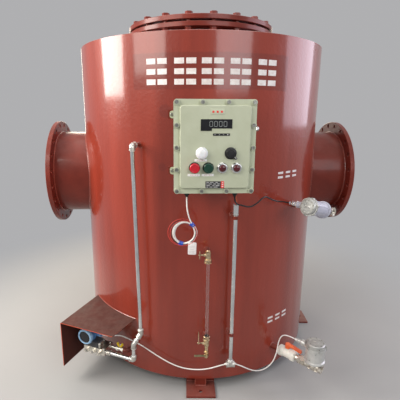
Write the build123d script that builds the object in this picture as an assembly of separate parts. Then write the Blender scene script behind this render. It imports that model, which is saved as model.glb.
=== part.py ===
from build123d import *
from math import cos, radians, sin, tan
import os

# Water seal flame arrestor. Origin on the vessel's axis at floor level, +Z up, -Y to the front,
# where the instruments are. Angles go round the vessel from the front, positive to the right.

# Vessel
vessel_radius = 750
shell_wall = 8
shell_height = 1843
foot_height = 60
head_thickness = 12
nozzle_height = 1141

# Gas nozzles and their flanges
nozzle_radius = 265
nozzle_wall = 10
nozzle_reach = 949
nozzle_flange_radius = 335
nozzle_flange_thickness = 28
nozzle_bolt_circle = 620
nozzle_bolt_count = 20
nozzle_hole_radius = 13
weld_land = 8

# Dip pipe inside, from the inlet nozzle to under the water
dip_wall = 6
dip_insert = 70
dip_offset = 250
dip_bend = 330
dip_mouth_height = 200
dip_slot_count = 10
dip_slot_width = 30
dip_slot_height = 90

# Relief top
relief_neck_radius = 360
relief_neck_wall = 8
relief_neck_height = 82
relief_flange_radius = 452
relief_flange_thickness = 25
relief_bolt_circle = 850
relief_bolt_count = 20
relief_first_bolt = 4.6
relief_bolt_radius = 12
relief_hole_radius = 13
gasket_thickness = 5
membrane_thickness = 1
gasket_margin = 3
bolt_head_width = 36
bolt_head_height = 15
nut_height = 20
bolt_tail = 7

# Feet
foot_angle = -3
foot_count = 4
foot_plate_width = 162
foot_plate_thickness = 12
foot_plate_inner = vessel_radius - 150
foot_plate_outer = vessel_radius + 80
foot_rib_width = 58
foot_rib_outer = vessel_radius - 5
foot_web_outer = vessel_radius - 45
foot_web_thickness = 12
anchor_circle = 2 * vessel_radius + 80
anchor_hole_radius = 11

# Control box
box_left = -191
box_right = 167
box_bottom = 1183
box_top = 1592
box_stand_off = 56
box_depth = 134
box_face_rise = 15
box_back = vessel_radius + box_stand_off
box_flange_front = box_back + box_depth
box_flange_thickness = 14
box_face = box_flange_front + box_face_rise
box_middle = (box_left + box_right) / 2
box_centre = (box_bottom + box_top) / 2
box_face_inset = 26
box_body_inset = 10
box_wall = 7
box_corner = 14
box_body_corner = 22
box_edge_round = 4
boss_radius = 13
boss_height = 8
lid_bolt_margin = 12.5
lid_bolt_radius = 4
lid_bolt_head_radius = 8
lid_bolt_head_height = 7
lid_bolt_columns = 4
lid_bolt_rows = 5
lug_reach = 26
lug_height = 34
lug_thickness = 12
lug_hole_radius = 4.5
lug_from_bottom = 84
lug_from_top = 65
lug_levels = (box_bottom + lug_from_bottom, box_top - lug_from_top)
rail_thickness = 6
rail_height = 40
rail_overhang = 8
rail_leg_inset = 45
gland_from_left = 62
gland_from_right = 69
gland_from_front = 80
gland_spots = (box_left + gland_from_left, box_right - gland_from_right)
gland_out = box_flange_front - gland_from_front
gland_radius = 13
gland_length = 40

# Fittings on the lid, each at (across, up) from the middle of the lid
window_outline = ((-64, 121.5), (71, 121.5), (71, 82.5), (-16, 82.5), (-16, 72.5), (-64, 72.5))
window_thickness = 2
key_strip_spot = (25.5, 56.5)
key_strip_size = (73, 10)
key_count = 4
white_lamp_spot = (-58, -23.5)
white_lamp_radius = 25
red_lamp_spots = ((33, -87.5), (95, -87.5))
red_lamp_radius = 20.5
red_button_spot = (-89, -86.5)
green_button_spot = (-29, -86.5)
button_radius = 21.5
button_height = 13
button_stem_radius = 10
button_travel = 5
button_collar_radius = 17
button_collar_height = 5
selector_spot = (68, -23.5)
selector_radius = 22
selector_height = 20
selector_pointer = 34
selector_pointer_width = 9
selector_angle = -45
selector_stem_radius = 6
stem_clearance = 0.3
stem_depth = 14

# Pipe and fittings
pipe_radius = 10.65
pipe_bore = 7.8
fitting_radius = 15
fitting_leg = 26
fitting_bend = 11.5
stub_radius = 13
stub_bore = 8
water_stub_radius = 17
water_stub_bore = 12.5

# Pressure sensing line
sense_angle = -29
sense_top = 1377
sense_stand_off = 60
sense_knee_angle = -27.42
sense_knee_height = 339
sense_jog_angle = -29.03
sense_jog_height = 290
sense_jog_out = 101
sense_port_height = 193

# Rain hood, in its own frame: across from its left edge, back from its front edge
hood_angle = -25
hood_corner_angle = -52
hood_corner_out = 305.8
hood_top = 376
hood_bottom = 96
hood_width = 346
hood_flare = 28
hood_flare_depth = 210
hood_plate = 4
hood_bend = 7

# Transmitter, manifold and low tap valve, in the hood's frame
transmitter_across = 127
transmitter_back = 105
transmitter_height = 288
transmitter_radius = 41
transmitter_length = 84
transmitter_neck_radius = 22
cover_radius = 45
cover_length = 19
cover_rim = 6
capsule_across = 150
capsule_size = (92, 58, 34)
capsule_round = 8
manifold_left = 95
manifold_right = 236
manifold_back = 118
manifold_depth = 84
manifold_top = 212
manifold_bottom = 174
bonnet_radius = 10
bonnet_length = 26
port_spacing = 54
sense_port_back = 91
low_tap_turn = 345
tap_valve_across = 297
tap_valve_length = 46
tap_valve_radius = 13
tap_handle_length = 42
tap_handle_width = 9
tap_handle_rise = 21
conduit_entry_length = 34

# Level gauge
gauge_across = -19
gauge_out = vessel_radius + 80
gauge_upper = 844
gauge_lower = 347
gauge_drain = 283
gauge_tube_radius = 10
gauge_tube_wall = 2.5
gauge_nut_radius = 15.5
gauge_nut_height = 20
cock_radius = 11
cock_side = 22
cock_shank = 34
lever_stem_radius = 4
lever_thickness = 4
lever_width = 9
upper_lever_length = 42
lower_lever_length = 66
drain_lever_length = 66
lever_gap = 0.4

# Conduit on the right
conduit_across = 118
conduit_stand_off = 60
conduit_top = 1042
conduit_foot = 191
conduit_cap_length = 54
clamp_heights = (374, 1028)
clamp_width = 18
clamp_thickness = 3
clamp_leg_radius = 5
tee_radius = 17
tee_length = 46

# Water inlet valve
inlet_angle = 40
inlet_height = 1039
inlet_run = 194
inlet_tilt = 16
inlet_total = 200
inlet_motor_radius = 43
motor_cover_height = 20
motor_arm_reach = 122
motor_arm_drop = 37
motor_arm_radius = 16
motor_foot_gap = 34
valve_half = 46
valve_ball_radius = 27
valve_end_radius = 22
valve_thread_radius = 15.2
valve_thread_depth = 18
motor_pad_size = 46
motor_pad_thickness = 8
tail_nut_width = 46

# Water outlet valves
outlet_root_angle = 32
outlet_angle = 42.9
outlet_height = 184
outlet_stub_length = 56
plastic_valve_length = 104
plastic_valve_radius = 30
plastic_valve_waist = 24
outlet_run = 262
outlet_total = 147
outlet_motor_radius = 53
plastic_lever_length = 84
plastic_lever_rise = 58
plastic_lever_hub = 15
nipple_radius = 17

# Cords, each as the points of its route
lead_radius = 3.2
lead_drops = ((0, 0, 0), (0, 0, -34), (2, -3, -65), (8, -2, -92), (14, 2, -113))
coil_drop = (-13, 10, -185)
coil_radius = 65
coil_half_width = 14
coil_half_depth = 9
valve_cord_radius = 3.5
black_route = (
    (98, -860, 1153), (98, -860, 1131), (110, -864, 1112), (137, -866, 1107), (163, -864, 1098),
    (189, -859, 1102), (216, -849, 1118), (240, -832, 1135), (262, -806, 1136), (288, -771, 1120),
    (318, -737, 1102), (346, -712, 1089), (370, -699, 1084), (388, -706, 1084), (408.3, -730.4, 1083.9),
)
signal_radius = 3.2
signal_route = (
    (95, -800, 191), (56, -800, 181), (14, -797, 165), (-36, -789, 151), (-92, -776, 144),
    (-150, -764, 148), (-206, -748, 163), (-262, -730, 187), (-316, -706, 211), (-368, -680, 233),
    (-418, -655, 247), (-462, -632, 256), (-499, -618, 264), (-530, -630, 273), (-556, -647, 282),
    (-580, -651.6, 287.5), (-604.55, -640.2, 288),
)
outlet_cord_route = (
    (141, -800, 191), (176, -800, 178), (214, -789, 150), (254, -773, 122), (298, -757, 106),
    (342, -742, 113), (376, -731, 138), (396, -721, 176), (405, -712, 213), (411, -705, 244),
    (420, -698, 268), (434, -694, 286), (452, -702, 294), (472.3, -716.6, 294), (492.7, -738.6, 294),
)


def heading(angle, rise=0):
    """The horizontal direction at an angle round the vessel."""
    return Vector(sin(radians(angle)), -cos(radians(angle)), rise)


def around(radius, angle, height=0):
    """A point at a radius and an angle round the vessel's axis."""
    return heading(angle) * radius + Vector(0, 0, height)


def tube(start, end, radius, bore=0):
    """A round bar or tube from one point to another."""
    start, end = Vector(start), Vector(end)
    run = Plane(origin=start, z_dir=end - start)
    low = (Align.CENTER, Align.CENTER, Align.MIN)
    bar = run * Cylinder(radius, (end - start).length, align=low)
    if bore:
        bar -= run * Cylinder(bore, (end - start).length, align=low)
    return bar


def prism(start, end, width, sides=6, turn=0):
    """A bar of regular section, its width across flats."""
    start, end = Vector(start), Vector(end)
    flat = RegularPolygon(width / 2, sides, major_radius=False, rotation=turn)
    return Plane(origin=start, z_dir=end - start) * extrude(flat, (end - start).length)


def turned(*outline):
    """A turned piece on the Z axis, its outline given as (radius, height)."""
    return revolve(make_face(Plane.XZ * Polyline(*outline, close=True)), Axis.Z)


def block(low, high):
    """A box from its lowest corner to its highest."""
    low, high = Vector(low), Vector(high)
    size = high - low
    return Pos((low + high) * 0.5) * Box(size.X, size.Y, size.Z)


def bolt_ring(circle, count, first=0.0):
    """The places of bolts on a circle, counted from the front."""
    return [around(circle / 2, first + i * 360 / count) for i in range(count)]


def bent(points, radius, bend, bore=0):
    """A pipe along straight runs joined by equal bends."""
    path = FilletPolyline(*points, radius=bend)
    end = Plane(origin=path @ 0, z_dir=path % 0)
    pipe = sweep(end * Circle(radius), path=path)
    if bore:
        pipe -= sweep(end * Circle(bore), path=path)
    return pipe


def elbow(before, corner, after):
    """A pipe fitting round a corner, bored for the pipes that screw into it."""
    before, corner, after = Vector(before), Vector(corner), Vector(after)
    ends = [corner + (side - corner).normalized() * fitting_leg for side in (before, after)]
    return bent((ends[0], corner, ends[1]), fitting_radius, fitting_bend, pipe_radius)


def pipe_between(start, end, radius=pipe_radius, bore=pipe_bore, gap=fitting_bend):
    """A straight pipe that stops short of the corners at its ends, inside their fittings."""
    start, end = Vector(start), Vector(end)
    along = (end - start).normalized()
    return tube(start + along * gap, end - along * gap, radius, bore)


def cord(points, radius):
    """A cord's tube, each of its arcs as large as its two runs allow."""
    spots = [Vector(*point) for point in points]
    runs = [b - a for a, b in zip(spots, spots[1:])]
    radii = [
        0.45 * min(a.length, b.length) / tan(radians(a.get_angle(b)) / 2)
        for a, b in zip(runs, runs[1:])
    ]
    print("arc radii", [round(value) for value in radii])
    path = FilletPolyline(*spots, radius=radii)
    return sweep(Plane(origin=path @ 0, z_dir=path % 0) * Circle(radius), path=path)


# The vessel

shell_bottom = foot_height
shell_top = shell_bottom + shell_height
shell_inner = vessel_radius - shell_wall
nozzle_bore = nozzle_radius - nozzle_wall


def vessel_core(radius=vessel_radius):
    """The space inside a radius, to cut pieces to the shell's curve."""
    return Pos(0, 0, (shell_bottom + shell_top) / 2) * Cylinder(radius, 2 * shell_height)


def nozzle_bar(radius, reach=2 * nozzle_reach):
    return tube((-reach, 0, nozzle_height), (reach, 0, nozzle_height), radius)


def gauge_root(height):
    """Where a gauge stub leaves the shell, straight back from its cock."""
    return Vector(gauge_across, -(vessel_radius - shell_wall), height)


sense_corner = around(vessel_radius + sense_stand_off, sense_angle, sense_top)
sense_knee = around(vessel_radius + sense_stand_off, sense_knee_angle, sense_knee_height)
sense_jog = around(vessel_radius + sense_jog_out, sense_jog_angle, sense_jog_height)
hood_corner = around(vessel_radius + hood_corner_out, hood_corner_angle)
hood_across = heading(hood_angle + 90)
hood_out = heading(hood_angle)


def hood_point(across, back, height):
    """A point in the hood's frame: across from its left edge, back from its front edge."""
    return hood_corner + Vector(0, 0, height) + hood_across * across - hood_out * back


low_tap_back = sense_port_back + port_spacing
low_tap_corner = hood_point(low_tap_turn, low_tap_back, sense_port_height)
low_tap_flat = Vector(low_tap_corner.X, low_tap_corner.Y, 0)
low_tap_root = low_tap_flat.normalized() * shell_inner + Vector(0, 0, sense_port_height)
inlet_out = heading(inlet_angle)
inlet_root = around(shell_inner, inlet_angle, inlet_height)
inlet_centre = around(vessel_radius + inlet_run, inlet_angle, inlet_height)
outlet_out = heading(outlet_angle)
outlet_root = around(vessel_radius, outlet_root_angle, outlet_height)
outlet_centre = outlet_root + outlet_out * outlet_run


def stub_runs():
    """Each stub's points, radius and bore."""
    near_pipe = around(vessel_radius + sense_stand_off - fitting_bend, sense_angle, sense_top)
    stubs = [
        ([around(shell_inner, sense_angle, sense_top), near_pipe], pipe_radius, pipe_bore),
        (
            [
                low_tap_root,
                low_tap_corner,
                low_tap_corner - hood_across * (low_tap_turn - tap_valve_across - tap_valve_length / 2),
            ],
            stub_radius, stub_bore,
        ),
        ([inlet_root, inlet_centre - inlet_out * valve_half], water_stub_radius, water_stub_bore),
        (
            [outlet_root - outlet_out * 2 * shell_wall, outlet_root + outlet_out * outlet_stub_length],
            water_stub_radius, water_stub_bore,
        ),
    ]
    for height in (gauge_upper, gauge_lower):
        root = gauge_root(height)
        stubs.append(([root, (gauge_across, -(gauge_out - cock_shank), height)], stub_radius, stub_bore))
    return stubs


def shell():
    body = tube((0, 0, shell_bottom), (0, 0, shell_top), vessel_radius, shell_inner)
    body -= nozzle_bar(nozzle_radius)
    for points, radius, _ in stub_runs():
        inward = (Vector(points[0]) - Vector(points[1])).normalized()
        body -= tube(Vector(points[0]) + inward * 3 * shell_wall, points[1], radius)
    return body


def top_head():
    low = shell_top - head_thickness
    return tube((0, 0, low), (0, 0, shell_top), shell_inner, relief_neck_radius - relief_neck_wall)


def bottom_plate():
    return tube((0, 0, shell_bottom), (0, 0, shell_bottom + head_thickness), shell_inner)


def shell_stubs():
    stubs = []
    for points, radius, bore in stub_runs():
        if len(points) == 2:
            stub = tube(*points, radius, bore)
        else:
            stub = bent(points, radius, 1.4 * radius, bore)
        stubs.append(stub - vessel_core(shell_inner))
    return stubs


def feet():
    """Welded feet: an anchor plate, an upright rib and a web set back across it."""
    plate = block((-foot_plate_width / 2, -foot_plate_outer, 0),
                  (foot_plate_width / 2, -foot_plate_inner, foot_plate_thickness))
    plate -= Pos(0, -anchor_circle / 2, 0) * Cylinder(anchor_hole_radius, 3 * foot_plate_thickness)
    rib = block((-foot_rib_width / 2, -foot_rib_outer, foot_plate_thickness),
                (foot_rib_width / 2, -foot_plate_inner, foot_height))
    web = block((-foot_plate_width / 2, -foot_web_outer, foot_plate_thickness),
                (foot_plate_width / 2, foot_web_thickness - foot_web_outer, foot_height))
    foot = plate + rib + web
    return [Rot(0, 0, foot_angle + i * 360 / foot_count) * foot for i in range(foot_count)]


def flange(radius, bore, thickness, circle, count, hole, first=0.0, counterbore=None):
    """A plate flange on the Z axis with its back at zero, its pipe let into the back."""
    ring = tube((0, 0, 0), (0, 0, thickness), radius, bore)
    if counterbore:
        ring -= tube((0, 0, 0), (0, 0, thickness - weld_land), counterbore)
    for spot in bolt_ring(circle, count, first):
        ring -= Pos(spot) * Cylinder(hole, 3 * thickness)
    rims = ring.edges().filter_by(GeomType.CIRCLE).filter_by(lambda edge: edge.radius > circle / 2)
    return chamfer(rims, 2)


nozzle_back = nozzle_reach - nozzle_flange_thickness


def gas_nozzle(side):
    """The pipe of one gas nozzle, from the shell into its flange."""
    end = nozzle_reach - weld_land
    pipe = tube((0, 0, nozzle_height), (side * end, 0, nozzle_height), nozzle_radius, nozzle_bore)
    return pipe - vessel_core(shell_inner)


def gas_flange(side):
    ring = flange(nozzle_flange_radius, nozzle_bore, nozzle_flange_thickness, nozzle_bolt_circle,
                  nozzle_bolt_count, nozzle_hole_radius, 180 / nozzle_bolt_count, nozzle_radius)
    return Plane(origin=(side * nozzle_back, 0, nozzle_height), z_dir=(side, 0, 0)) * ring


def dip_pipe():
    """The pipe that leads the inlet gas under the water, with a slotted mouth."""
    start = (-shell_inner - dip_insert, 0, nozzle_height)
    mouth = shell_bottom + head_thickness + dip_mouth_height
    route = (start, (-dip_offset, 0, nozzle_height), (-dip_offset, 0, mouth))
    pipe = bent(route, nozzle_bore, dip_bend, nozzle_bore - dip_wall)
    for i in range(dip_slot_count // 2):
        slot = Box(2 * nozzle_radius, dip_slot_width, dip_slot_height)
        pipe -= Pos(-dip_offset, 0, mouth + dip_slot_height / 2 - 1) * Rot(0, 0, i * 360 / dip_slot_count) * slot
    return pipe


# The relief top

lower_ring_bottom = shell_top + relief_neck_height
lower_ring_top = lower_ring_bottom + relief_flange_thickness
upper_ring_bottom = lower_ring_top + 2 * gasket_thickness + membrane_thickness
upper_ring_top = upper_ring_bottom + relief_flange_thickness
relief_bore = relief_neck_radius - relief_neck_wall
gasket_radius = relief_bolt_circle / 2 - relief_hole_radius - gasket_margin


def relief_neck():
    return tube((0, 0, shell_top), (0, 0, lower_ring_top - weld_land), relief_neck_radius, relief_bore)


def relief_ring(bottom, counterbore=None):
    ring = flange(relief_flange_radius, relief_bore, relief_flange_thickness, relief_bolt_circle,
                  relief_bolt_count, relief_hole_radius, relief_first_bolt, counterbore)
    return Pos(0, 0, bottom) * ring


def relief_gaskets():
    lows = (lower_ring_top, lower_ring_top + gasket_thickness + membrane_thickness)
    return [tube((0, 0, low), (0, 0, low + gasket_thickness), gasket_radius, relief_bore) for low in lows]


def relief_membrane():
    low = lower_ring_top + gasket_thickness
    return tube((0, 0, low), (0, 0, low + membrane_thickness), gasket_radius)


def relief_bolts():
    bolts = []
    for spot in bolt_ring(relief_bolt_circle, relief_bolt_count, relief_first_bolt):
        top = spot + Vector(0, 0, upper_ring_top)
        tail = spot + Vector(0, 0, lower_ring_bottom - nut_height - bolt_tail)
        head = prism(top, top + Vector(0, 0, bolt_head_height), bolt_head_width)
        bolts.append(head + tube(tail, top, relief_bolt_radius))
    return bolts


def relief_nuts():
    nuts = []
    for spot in bolt_ring(relief_bolt_circle, relief_bolt_count, relief_first_bolt):
        low = spot + Vector(0, 0, lower_ring_bottom - nut_height)
        nut = prism(low, spot + Vector(0, 0, lower_ring_bottom), bolt_head_width)
        nuts.append(nut - tube(low - Vector(0, 0, 1), spot + Vector(0, 0, lower_ring_bottom), relief_bolt_radius))
    return nuts


# The control box. Faces of the lid are drawn as seen from the front.

box_width = box_right - box_left
box_height = box_top - box_bottom
lid_back = box_flange_front - box_flange_thickness
body_front = lid_back


def slab(width, height, front, back, corner, middle=box_middle, centre=box_centre):
    """A plate facing forward with rounded corners, from its front to its back."""
    outline = RectangleRounded(width, height, corner)
    return Plane(origin=(middle, -back, centre), x_dir=(1, 0, 0), z_dir=(0, -1, 0)) * extrude(outline, front - back)


def facing(spot, out):
    """A frame on the lid, its Z axis to the front."""
    return Plane(origin=(spot[0], -out, spot[1]), x_dir=(1, 0, 0), z_dir=(0, -1, 0))


def on_lid(spot):
    """A frame on the lid's raised face, its spot measured from the middle of the lid."""
    return facing((box_middle + spot[0], box_centre + spot[1]), box_face)


def lid_bolt_spots():
    columns = [box_left + lid_bolt_margin, box_right - lid_bolt_margin]
    rows = [box_bottom + lid_bolt_margin, box_top - lid_bolt_margin]
    across = [columns[0] + i * (columns[1] - columns[0]) / (lid_bolt_columns - 1) for i in range(lid_bolt_columns)]
    up = [rows[0] + i * (rows[1] - rows[0]) / (lid_bolt_rows - 1) for i in range(lid_bolt_rows)]
    sides = [(x, z) for x in columns for z in up]
    return sides + [(x, z) for x in across[1:-1] for z in rows]


def box_body():
    """The cast body: its flange, the deep tray behind it and four lugs."""
    inset = 2 * box_body_inset
    body = slab(box_width, box_height, body_front, body_front - box_flange_thickness, box_corner)
    body += slab(box_width - inset, box_height - inset, body_front, box_back, box_body_corner)
    for level in lug_levels:
        for side in (-1, 1):
            edge = box_middle + side * (box_width / 2 - box_body_inset)
            lug = slab(2 * lug_reach, lug_height, box_back + lug_thickness, box_back, lug_height / 3, edge, level)
            hole = facing((edge + side * lug_reach * 0.55, level), box_back) * Cylinder(lug_hole_radius, 3 * lug_thickness)
            body += lug - hole
    hollow = inset + 2 * box_wall
    body -= slab(box_width - hollow, box_height - hollow, body_front, box_back + box_wall, box_body_corner - box_wall)
    for spot in lid_bolt_spots():
        body -= facing(spot, body_front) * Cylinder(lid_bolt_radius, 2 * box_flange_thickness - 4)
    return body


def box_lid():
    """The bolted lid: a flange, a raised face and a boss round each bolt."""
    lid = slab(box_width, box_height, box_flange_front, lid_back, box_corner)
    inset = 2 * box_face_inset
    face = slab(box_width - inset, box_height - inset, box_face, lid_back, box_corner)
    face = fillet(face.faces().sort_by(Axis.Y)[0].edges(), box_edge_round)
    lid += face
    for spot in lid_bolt_spots():
        lid += facing(spot, lid_back) * extrude(Circle(boss_radius), box_flange_thickness + boss_height)
    lid &= slab(box_width, box_height, box_face, lid_back, box_corner)
    for spot in lid_bolt_spots():
        lid -= facing(spot, lid_back) * Cylinder(lid_bolt_radius, 6 * box_flange_thickness)
    for spot in (red_button_spot, green_button_spot):
        lid += on_lid(spot) * extrude(Circle(button_collar_radius), button_collar_height)
        lid -= on_lid(spot) * Cylinder(button_stem_radius + stem_clearance, 2 * box_depth)
    lid -= on_lid(selector_spot) * Cylinder(selector_stem_radius + stem_clearance, 2 * box_depth)
    return lid


def lid_bolts():
    bolts = []
    seat = box_flange_front + boss_height
    for spot in lid_bolt_spots():
        head = facing(spot, seat) * extrude(Circle(lid_bolt_head_radius), lid_bolt_head_height)
        socket = facing(spot, seat + 3) * extrude(RegularPolygon(4, 6), lid_bolt_head_height)
        shank = facing(spot, body_front - box_flange_thickness + 4) * extrude(
            Circle(lid_bolt_radius), seat - body_front + box_flange_thickness - 4)
        bolts.append(head - socket + shank)
    return bolts


def box_bracket():
    """Two welded rails that carry the lugs, on legs cut to the shell."""
    rails = []
    reach = box_width / 2 - box_body_inset + lug_reach + rail_overhang
    for level in lug_levels:
        low, high = level - rail_height / 2, level + rail_height / 2
        rail = block((box_middle - reach, -box_back, low), (box_middle + reach, rail_thickness - box_back, high))
        for side in (-1, 1):
            leg = box_middle + side * (reach - rail_leg_inset)
            rail += block((leg - rail_thickness / 2, -box_back, low), (leg + rail_thickness / 2, -vessel_radius / 2, high))
        rails.append(rail - vessel_core())
    return rails


def display_window():
    pane = make_face(Polyline(*window_outline, close=True))
    return on_lid((0, 0)) * extrude(pane, window_thickness)


def key_strip():
    width, height = key_strip_size
    strip = on_lid(key_strip_spot) * extrude(Rectangle(width, height), window_thickness / 2)
    for i in range(key_count):
        across = key_strip_spot[0] + (i - (key_count - 1) / 2) * width / key_count
        key = Rectangle(0.7 * width / key_count, 0.6 * height)
        strip += on_lid((across, key_strip_spot[1])) * extrude(key, window_thickness)
    return strip


def white_lamp():
    radius = white_lamp_radius
    lamp = turned((0, 0), (radius, 0), (radius, 12), (0.86 * radius, 18), (0.5 * radius, 22), (0, 23))
    return on_lid(white_lamp_spot) * lamp


def red_lamps():
    radius = red_lamp_radius
    lamp = turned((0, 0), (radius, 0), (radius, 6), (0.86 * radius, 12), (0.74 * radius, 12), (0.7 * radius, 15),
                  (0.4 * radius, 18.5), (0, 19.5))
    return [on_lid(spot) * lamp for spot in red_lamp_spots]


def push_button(spot):
    """A button head over its collar, on a stem that slides in the lid."""
    low = button_collar_height + button_travel + 1
    stem_foot = button_travel + 2 - (box_face - lid_back)
    head = turned((0, stem_foot), (button_stem_radius, stem_foot), (button_stem_radius, low), (button_radius, low),
                  (button_radius, low + button_height - 3), (button_radius - 3, low + button_height),
                  (0, low + button_height + 1))
    return on_lid(spot) * head


def selector_knob():
    """A round knob with a pointer bar, on a spindle in the lid."""
    radius, height = selector_radius, selector_height
    knob = turned((0, -stem_depth), (selector_stem_radius, -stem_depth), (selector_stem_radius, 1), (radius, 1),
                  (radius, 6), (0.84 * radius, 9), (0.76 * radius, height), (0, height + 1))
    bar = Rot(0, 0, selector_angle) * Pos(selector_pointer / 2, 0, height / 2) * Box(
        selector_pointer, selector_pointer_width, height - 4)
    return on_lid(selector_spot) * (knob + fillet(bar.edges().filter_by(Axis.Z), 2))


def cable_glands():
    floor = box_bottom + box_body_inset
    gland = turned((0, 0), (gland_radius + 4, 0), (gland_radius + 4, -5), (gland_radius, -5),
                   (gland_radius, -22), (gland_radius - 2, -24), (gland_radius - 2, -32),
                   (gland_radius - 7, -gland_length), (0, -gland_length))
    return [Pos(across, -gland_out, floor) * gland for across in gland_spots]


# The pressure sensing line and its transmitter

sense_port = hood_point(manifold_right, sense_port_back, sense_port_height)
sense_foot = hood_point(
    (sense_jog - hood_point(0, 0, 0)).dot(hood_across), sense_port_back, sense_port_height)


def sense_route():
    return [sense_corner, sense_knee, sense_jog, sense_foot, sense_port]


def sense_pipes():
    corner, knee, jog, foot, port = sense_route()
    along = (port - foot).normalized()
    return [
        pipe_between(corner, knee),
        pipe_between(knee, jog),
        pipe_between(jog, foot),
        tube(foot + along * fitting_bend, port, pipe_radius, pipe_bore),
    ]


def sense_elbows():
    corner, knee, jog, foot, port = sense_route()
    root = around(shell_inner, sense_angle, sense_top)
    fittings = [elbow(root, corner, knee), elbow(corner, knee, jog), elbow(knee, jog, foot), elbow(jog, foot, port)]
    return fittings


def folded_corner(across, bottom, top, bend):
    """A face from a rounded upper left corner, open to the right."""
    face = make_face(Polyline((across, bottom), (across, top), (hood_width / 2, top), (hood_width / 2, bottom),
                              close=True))
    corner = face.vertices().sort_by_distance(Vertex(across, top, 0))[0]
    return fillet(corner, bend)


def instrument_hood():
    """A folded plate: a flat top that flares to the right and one hanging side, cut to the shell."""
    depth = 2 * hood_flare_depth
    front = Plane(origin=hood_point(0, 0, 0), x_dir=hood_across, z_dir=hood_out)
    section = folded_corner(0, hood_bottom, hood_top, hood_bend)
    section -= folded_corner(hood_plate, hood_bottom - 1, hood_top - hood_plate, hood_bend - hood_plate)
    fold = front * extrude(section, -depth)
    right = hood_width + hood_flare
    flat = Polyline((hood_width / 4, 0), (hood_width, 0), (right, hood_flare_depth), (right, depth),
                    (hood_width / 4, depth), close=True)
    level = Plane(origin=hood_point(0, 0, hood_top - hood_plate), x_dir=hood_across, z_dir=(0, 0, 1))
    return fold + level * extrude(make_face(flat), hood_plate) - vessel_core()


transmitter_front = transmitter_back - transmitter_length / 2
transmitter_end = transmitter_back + transmitter_length / 2


def transmitter_body():
    """The housing between its covers, its neck and the conduit entry on its right."""
    across, height = transmitter_across, transmitter_height
    body = tube(hood_point(across, transmitter_end, height), hood_point(across, transmitter_front, height),
                transmitter_radius)
    neck_foot = manifold_top + capsule_size[2]
    body += tube(hood_point(across, transmitter_back, neck_foot), hood_point(across, transmitter_back, height),
                 transmitter_neck_radius)
    entry = across + transmitter_radius + conduit_entry_length
    body += prism(hood_point(across, transmitter_back, height), hood_point(entry, transmitter_back, height), 26)
    return body


def transmitter_covers():
    """Two screwed covers, the front one with a recessed window."""
    across, height = transmitter_across, transmitter_height
    covers = []
    for start, way in ((transmitter_front, 1), (transmitter_end, -1)):
        frame = Plane(origin=hood_point(across, start, height), x_dir=hood_across, z_dir=hood_out * way)
        cap = turned((0, 0), (cover_radius, 0), (cover_radius, cover_length - 3), (cover_radius - 3, cover_length),
                     (cover_radius - 3 - cover_rim, cover_length), (cover_radius - 3 - cover_rim, cover_length - 7),
                     (0, cover_length - 7))
        covers.append(frame * cap)
    return covers


def transmitter_capsule():
    width, depth, height = capsule_size
    frame = Plane(origin=hood_point(capsule_across, transmitter_back, manifold_top + height / 2), x_dir=hood_across,
                  z_dir=(0, 0, 1))
    body = Box(width, depth, height)
    return frame * fillet(body.edges().filter_by(Axis.Z), capsule_round)


def valve_manifold():
    """A bar-stock manifold with its two process ports on the right and three valve bonnets in front."""
    depth = manifold_depth
    middle = hood_point((manifold_left + manifold_right) / 2, manifold_back, (manifold_top + manifold_bottom) / 2)
    frame = Plane(origin=middle, x_dir=hood_across, z_dir=(0, 0, 1))
    body = frame * Box(manifold_right - manifold_left, depth, manifold_top - manifold_bottom)
    for back in (sense_port_back, low_tap_back):
        body -= tube(hood_point(manifold_right - 16, back, sense_port_height),
                     hood_point(manifold_right, back, sense_port_height), pipe_bore)
    front = manifold_back - depth / 2
    for share in (0.2, 0.5, 0.8):
        across = manifold_left + share * (manifold_right - manifold_left)
        start = hood_point(across, front, sense_port_height)
        tip = hood_point(across, front - bonnet_length, sense_port_height)
        body += prism(start, start + (tip - start) * 0.55, 2 * bonnet_radius) + tube(start, tip, 0.45 * bonnet_radius)
    return body


def tap_valve_axis(across):
    return hood_point(across, low_tap_back, sense_port_height)


def low_tap_valve():
    """A small ball valve in the lower tap line, with the nipple that joins it to the manifold."""
    half = tap_valve_length / 2
    left, right = tap_valve_axis(tap_valve_across - half), tap_valve_axis(tap_valve_across + half)
    along = (right - left).normalized()
    body = tube(left, right, 0.8 * tap_valve_radius)
    body += prism(left, left + along * 12, 2 * tap_valve_radius) + prism(right - along * 12, right, 2 * tap_valve_radius)
    centre = tap_valve_axis(tap_valve_across)
    body += tube(centre, centre + Vector(0, 0, tap_valve_radius + 2), 7)
    body += tube(tap_valve_axis(manifold_right), left, pipe_bore)
    return body - tube(tap_valve_axis(manifold_right), right, 5)


def low_tap_handle():
    """A butterfly handle with two raised wings."""
    centre = tap_valve_axis(tap_valve_across)
    frame = Plane(origin=centre + Vector(0, 0, tap_valve_radius + 2 + lever_gap), x_dir=hood_across)
    half, rise = tap_handle_length / 2, tap_handle_rise
    wings = Polyline((-half, rise), (-half + 9, rise + 3), (-5, 9), (5, 9), (half - 9, rise + 3), (half, rise),
                     (half - 6, 4), (8, 0), (-8, 0), (-half + 6, 4), close=True)
    handle = extrude(Plane.XZ * make_face(wings), tap_handle_width / 2, both=True)
    return frame * handle


# The level gauge

def gauge_cock(height, way):
    """A cock's body: the shank to its stub, the plug housing and the nut round the glass."""
    centre = Vector(gauge_across, -gauge_out, height)
    up = Vector(0, 0, way)
    body = tube(centre + Vector(0, cock_shank, 0), centre, cock_radius)
    body += prism(centre + Vector(0, cock_shank, 0), centre + Vector(0, cock_shank - 10, 0), 26)
    body += tube(centre - up * 16, centre + up * cock_side, cock_radius + 2)
    nut = centre + up * cock_side
    body += prism(nut, nut + up * gauge_nut_height, 2 * gauge_nut_radius, 6)
    body += tube(centre, centre - Vector(cock_side, 0, 0), cock_radius - 2)
    return body


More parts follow.
